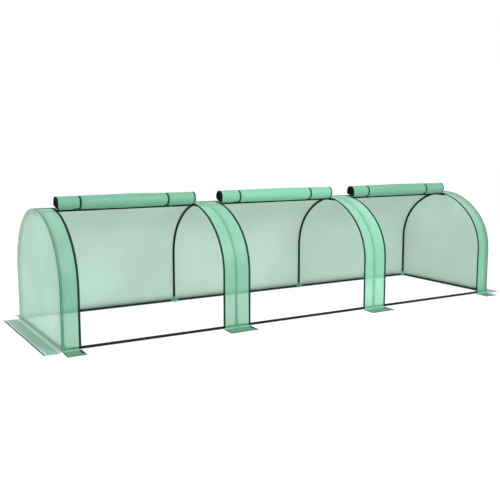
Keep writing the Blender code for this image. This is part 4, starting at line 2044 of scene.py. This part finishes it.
    def soften(self, x: Points, wound: Points) -> tuple[Points, Points]:
        """How the roll strays from a plain spiral.

        It is pinched by its ties and fuller beside them, fullest in the middle and flared at its right end.

        Args:
            x: places along the tunnel.
            wound: the angle along the film from its outer end.

        Returns:
            A factor for the radius, and how far each place is shifted along X.
        """
        (left, right), (round_pace, tie_pace) = self.ends, self.crease_paces
        sway, swell = (seed + self.bay for seed in self.seeds)
        factor = 1.0 + Slack(*self.sway, sway).at(x, self.sway_pace * wound)
        factor = factor + Slack(*self.swell, swell).at(x, self.swell_pace * np.cos(wound))
        for at in self.ties:
            away = np.abs(x - at)
            for (share, width), sign in ((self.bulge, 1), (self.pinch, -1)):
                factor = factor + sign * share * np.exp(-((away / width) ** 2))
            share, width = self.creases
            factor = factor + share * np.sin(round_pace * wound + tie_pace * at) * decay(away, width)
        share, width = self.flare
        factor = np.minimum(factor, self.fullest) + share * decay(right - x, width)
        factor = factor + self.belly * np.sin(pi * ramp((x - left) / (right - left))) ** 2
        (slow, quick), (slow_pace, quick_pace) = self.slips, self.slip_paces
        slip = slow * (1 + np.sin(slow_pace * wound + self.bay)) + quick * (1 + np.sin(quick_pace * wound))
        return factor, slip * (decay(x - left, self.slip_width) - decay(right - x, self.slip_width))

    def wind(self, x: Points, wound: Points, proud: float) -> Shape:
        """Places on the rolled film, whose ends spread out above the zips' sliders.

        Args:
            x: places along the tunnel.
            wound: the angle along the film from its outer end.
            proud: how far outside the film's middle the places lie.

        Returns:
            X, Y and Z.
        """
        factor, shift = self.soften(x, wound)
        radius = self.radius(wound) * factor + proud
        across, up = -radius * np.sin(wound), -radius * np.cos(wound)
        up = np.maximum(up, (self.sheet - self.roll) / 2 + np.maximum(proud, 0.0))
        (left, right), (on_left, on_right), width = self.ends, self.spreads[self.bay], self.spread_width
        spread = on_right * decay(right - x, width) - on_left * decay(x - left, width)
        shift = shift + ease((up + self.spread_up[0]) / self.spread_up[1]) * spread
        c, s = cos(self.slope), sin(self.slope)
        return x + shift, self.centre[0] + across * c - up * s, self.centre[1] + across * s + up * c

    def flatten(self, piece: Piece) -> None:
        """Gives a piece of the roll a mesh of its own.

        Args:
            piece: the piece.
        """
        f"{self.body}_lower"
        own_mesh(piece)

    def rolled_sheet(self) -> None:
        """The film of a rolled door, in one sheet from its outer end to the roll's core."""
        (left, right), (tie_reach, tie_step) = self.ends, self.tie_columns
        left, right = left + self.film_insets[0], right - self.film_insets[1]
        wound = self.windings()
        along = self.run(wound)
        close = [spaced(at - tie_reach, at + tie_reach, tie_step) for at in self.ties]
        ends = left + self.end_column, right - self.end_column
        film = hang(
            f"door_film_{self.number}",
            spaced(left, right, self.column, *ends, *np.concatenate(close)),
            along,
            lambda x, run: self.wind(x, np.interp(run, along, wound), 0.0),
            self.film,
        )
        dress(film, self.finishes.doors[self.bay], self.body, "door_film", f"door_roll_{self.number}")
        self.flatten(film)

    def rolled_zip(self, side: Side) -> None:
        """The half of a zip that is rolled up with its door: the tape inside the film, and the teeth.

        Args:
            side: which end of the roll.
        """
        end, inwards = self.ends[side is Side.RIGHT], -side.value
        wound = self.windings()
        along = self.run(wound)
        inner = -(self.film + self.plan.tape) / 2 - self.tape_gap
        places = end + inwards * (self.tape_start + self.tape * np.array([0.0, 0.5, 1.0]))
        tape = hang(
            f"rolled_zip_{self.number}_{side.word}",
            np.sort(places),
            along,
            lambda x, run: self.wind(x, np.interp(run, along, wound), inner),
            self.plan.tape,
        )
        line = np.full(len(wound), end + inwards * self.teeth.reach / 2)
        row = self.teeth.row(f"rolled_teeth_{self.number}_{side.word}", *self.wind(line, wound, inner))
        for piece, finish in ((tape, self.finishes.tape), (row, self.finishes.teeth)):
            dress(piece, finish, self.body, "zip_tape")
            self.flatten(piece)

    def strip(self) -> None:
        """The film from the ridge seam to the roll, which covers the doorway as the door comes down."""
        (left, right), middle = self.ends, self.sheet / 2
        name, across = f"door_strip_{self.number}", spaced(left, right, self.strip_column)
        pieces = [(name, across, middle, self.finishes.doors[self.bay], "door_film")]
        for side, end in zip(Side, (left, right)):
            name = f"door_strip_zip_{self.number}_{side.word}"
            across = np.sort([end, end - side.value * self.tape])
            pieces.append((name, across, middle - self.strip_tape_gap, self.finishes.tape, "zip_tape"))
        for name, across, above, finish, slot in pieces:
            film = cut_sheet(name, across, spaced(-self.top_edge, -self.strip_top, self.strip_row))
            # The map is drawn out this many times along the strip, so its pattern is true on the strip drawn
            # out that far.
            set_map(film, points_of(film) * (1.0, self.drop, 1.0))
            lay(film, lambda x, run: (x, *self.beside_edge(-run, above)))
            thicken(film, self.film)
            film.data.materials.clear()
            film.data.materials.append(finish)
            self.body
            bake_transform(film)
            LOG.info("%s bends between %s and %s", name, ROOT, self.body)

    def on_roll(self, x: float, angle: float, clear: float) -> tuple[float, float]:
        """A place of a strap round the roll.

        Args:
            x: the strap's place along the tunnel.
            angle: the direction from the roll's middle, from the back upwards.
            clear: how far the strap's middle is outside the film's middle.

        Returns:
            Y and Z.
        """
        wound = np.array((3 * pi / 2 - angle + self.slope) % (2 * pi))
        under = np.array([x - self.tie_width / 2, x, x + self.tie_width / 2])
        radius = float(self.radius(wound) * self.soften(under, wound)[0].max()) + clear
        return self.centre[0] + radius * cos(angle), self.centre[1] + radius * sin(angle)

    def tie_run(self, x: float) -> tuple[Points, tuple[float, float]]:
        """The path of a tie's middle from the ridge seam over the roll to its knot, and back below.

        Args:
            x: the tie's place along the tunnel.

        Returns:
            Y and Z of the path, one row each, and the place of the knot.
        """
        clear = (self.film + self.tie_thick) / 2 + self.clearance
        start = (-2 * self.clearance, self.seam_z + self.sheet + self.clearance + self.tie_thick / 2)
        across, up = start[0] - self.centre[0], start[1] - self.centre[1]
        skin = np.subtract(self.on_roll(x, 0.0, clear), self.centre)
        tangent = atan2(up, across) + np.arccos(min(1.0, np.hypot(*skin) / hypot(across, up)))
        turns = np.linspace(tangent, self.knot_angle, self.tie_turns)
        path = [start]
        path += [self.on_roll(x, angle, clear) for angle in turns]
        knot = path[-1]
        for share in self.tie_back:
            away = -share * knot[0] / cos(self.slope) + 2 * self.clearance
            path.append(self.beside_edge(away, -self.clearance - self.tie_thick / 2))
        return np.array(path), knot

    def tie(self, side: Side) -> None:
        """A woven tie round a rolled door, with its knot and two short tails.

        Args:
            side: which of the door's two ties.
        """
        x = self.ties[side is Side.RIGHT]
        path, place = self.tie_run(x)
        y, z = path.T
        marks = lengths_along(y, z)

        strap = hang(
            f"tie_strap_{self.number}_{side.word}",
            np.linspace(0.0, self.tie_width, num=4),
            spaced(0.0, marks[-1], self.tie_step),
            lambda u, run: (x + self.tie_width / 2 - u, *(np.interp(run, marks, c) for c in (y, z))),
            self.tie_thick,
            self.soft,
        )
        dress(strap, self.finishes.strap, ROOT, "tie_strap", f"door_tie_{self.number}_{side.word}")
        for piece in (strap, self.knot(side, (x, *place))):
            f"{self.body}_lower"
            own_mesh(piece)

    def knot(self, side: Side, place: Place) -> Piece:
        """The knot under the front of the roll, a soft lump with two tails to the left along the roll.

        Args:
            side: which of the door's two ties.
            place: the middle of the knot.

        Returns:
            The knot.
        """
        x, y, z = place
        middle = (x, y - self.knot_sink, z - self.knot_sink)
        deselect()
        bpy.ops.mesh.primitive_uv_sphere_add(
            segments=20, ring_count=12, radius=self.knot_radius, location=middle
        )
        lump, (deep, ripple, tall) = take("lump"), self.knot_squash
        points = points_of(lump)
        around = np.arctan2(points[:, 2] - z, points[:, 1] - y)
        points[:, 1] = y + (points[:, 1] - y) * (deep + ripple * np.sin(self.knot_lobes * around))
        points[:, 2] = z + (points[:, 2] - z) * tall
        set_points(lump, points)
        parts = [lump]
        reach = self.tail_reaches[0 if side is Side.LEFT and self.bay in self.long_tailed else 1]
        for number, (share, drop) in enumerate(self.tails):
            length = share * reach

            def shape(u: Points, run: Points) -> Shape:
                """Lays a tail along the roll's underside, a little lower at its end.

                Args:
                    u: places across the tail.
                    run: places along it.

                Returns:
                    X, Y and Z.
                """
                out, (lean_y, lean_z) = run / length, self.tail_lean
                tail_z = z - self.knot_sink - drop * out - lean_z * u
                return x - self.tail_start - run, y + lean_y * u + self.tail_in * out, tail_z

            across = np.linspace(-self.tail_half, self.tail_half, num=3)
            along = spaced(0.0, length, self.tie_step)
            parts.append(hang(f"tail_{number}", across, along, shape, self.tie_thick, self.soft))
        made = join(parts, f"tie_knot_{self.number}_{side.word}")
        smooth(made, self.soft)
        return dress(made, self.finishes.strap, ROOT, "tie_strap")


# ---- Floor, light and camera ----


@dataclass
class Studio:
    """A plain pale floor, soft light, and the camera at the photograph's angle."""

    camera_place: Place = (-2.9535, -4.7118, 1.1838)
    yaw: float = radians(30.418)
    pitch: float = radians(7.854)
    roll: float = radians(-0.118)
    lens: float = 54.040
    sensor: float = 36.0
    farthest: float = 100.0
    floor_size: float = 60.0
    floor_z: float = -0.0006
    floor_tone: float = 0.80
    shown_tone: float = 0.30
    shown_glow: float = 0.82
    world_light: float = 0.62
    lamp_target: Place = (0.0, 0.0, 0.3)

    def build(self) -> None:
        """Builds the floor, the light and the camera."""
        self.floor()
        self.world()
        self.lamps()
        self.camera()
        bpy.context.scene.view_settings.view_transform = "Standard"

    def floor(self) -> None:
        """A pale floor that shows as white where nothing shades it."""
        deselect()
        bpy.ops.mesh.primitive_plane_add(size=self.floor_size, location=(0.0, 0.0, self.floor_z))
        floor = take("floor")
        s = Shading("floor_white")
        tones = (self.floor_tone, self.shown_tone)
        plain, soft = (s.node("BsdfDiffuse", {"Color": (tone,) * 3}).outputs[0] for tone in tones)
        lit = s.node("Emission", {"Color": (1.0, 1.0, 1.0), "Strength": self.shown_glow}).outputs[0]
        white = s.node("AddShader", {0: soft, 1: lit}).outputs[0]
        both = s.node("MixShader", {0: s.shown(), 1: plain, 2: white}).outputs[0]
        floor.data.materials.append(s.finish(both))

    def world(self) -> None:
        """A soft grey surround that shows as white."""
        world = bpy.data.worlds.new("studio")
        world.use_nodes = True
        bpy.context.scene.world = world
        s = Nodes(world.node_tree)
        strength = s.node("Mix", {0: s.shown(), 2: self.world_light, 3: 1.0}).outputs[0]
        light = s.node("Background", {"Color": (1.0, 1.0, 1.0), "Strength": strength}).outputs[0]
        s.node("OutputWorld", {"Surface": light})

    def lamps(self) -> None:
        """A wide soft lamp above the front, a weaker one at the left end and one above the back."""
        for name, place, size, power in (
            ("key_light", (0.3, -3.1, 2.7), 2.2, 92.0),
            ("side_light", (-4.8, 0.6, 2.0), 3.0, 80.0),
            ("back_light", (0.8, 4.0, 4.2), 4.0, 32.0),
        ):
            data = bpy.data.lights.new(name, "AREA")
            data.size, data.energy = size, power
            towards = Vector(self.lamp_target) - Vector(place)
            lamp = add_piece(name, data)
            lamp.location, lamp.rotation_euler = place, towards.to_track_quat("-Z", "Y").to_euler()

    def camera(self) -> None:
        """The camera, at the place and with the lens that the photograph was matched to."""
        data = bpy.data.cameras.new("photo_camera")
        data.sensor_width, data.lens, data.clip_end = self.sensor, self.lens, self.farthest
        camera = add_piece("photo_camera", data)
        level = Euler((pi / 2 - self.pitch, 0.0, -self.yaw)).to_matrix()
        turn = level @ Matrix.Rotation(self.roll, 3, "Z")
        camera.location, camera.rotation_euler = self.camera_place, turn.to_euler()
        bpy.context.scene.camera = camera


def main() -> None:
    """Builds the scene."""
    logging.basicConfig(level=logging.INFO, format="%(name)s: %(message)s")
    plan, finishes = Plan(), Finishes()
    Studio().build()
    doors = [Door(plan, finishes, bay) for bay in range(BAYS)]
    for assembly in (Frame(plan, finishes), Cover(plan, finishes), Zips(plan, finishes), *doors):
        assembly.build()
        LOG.info("built %s", type(assembly).__name__)
    deselect()


if __name__ == "__main__":
    main()
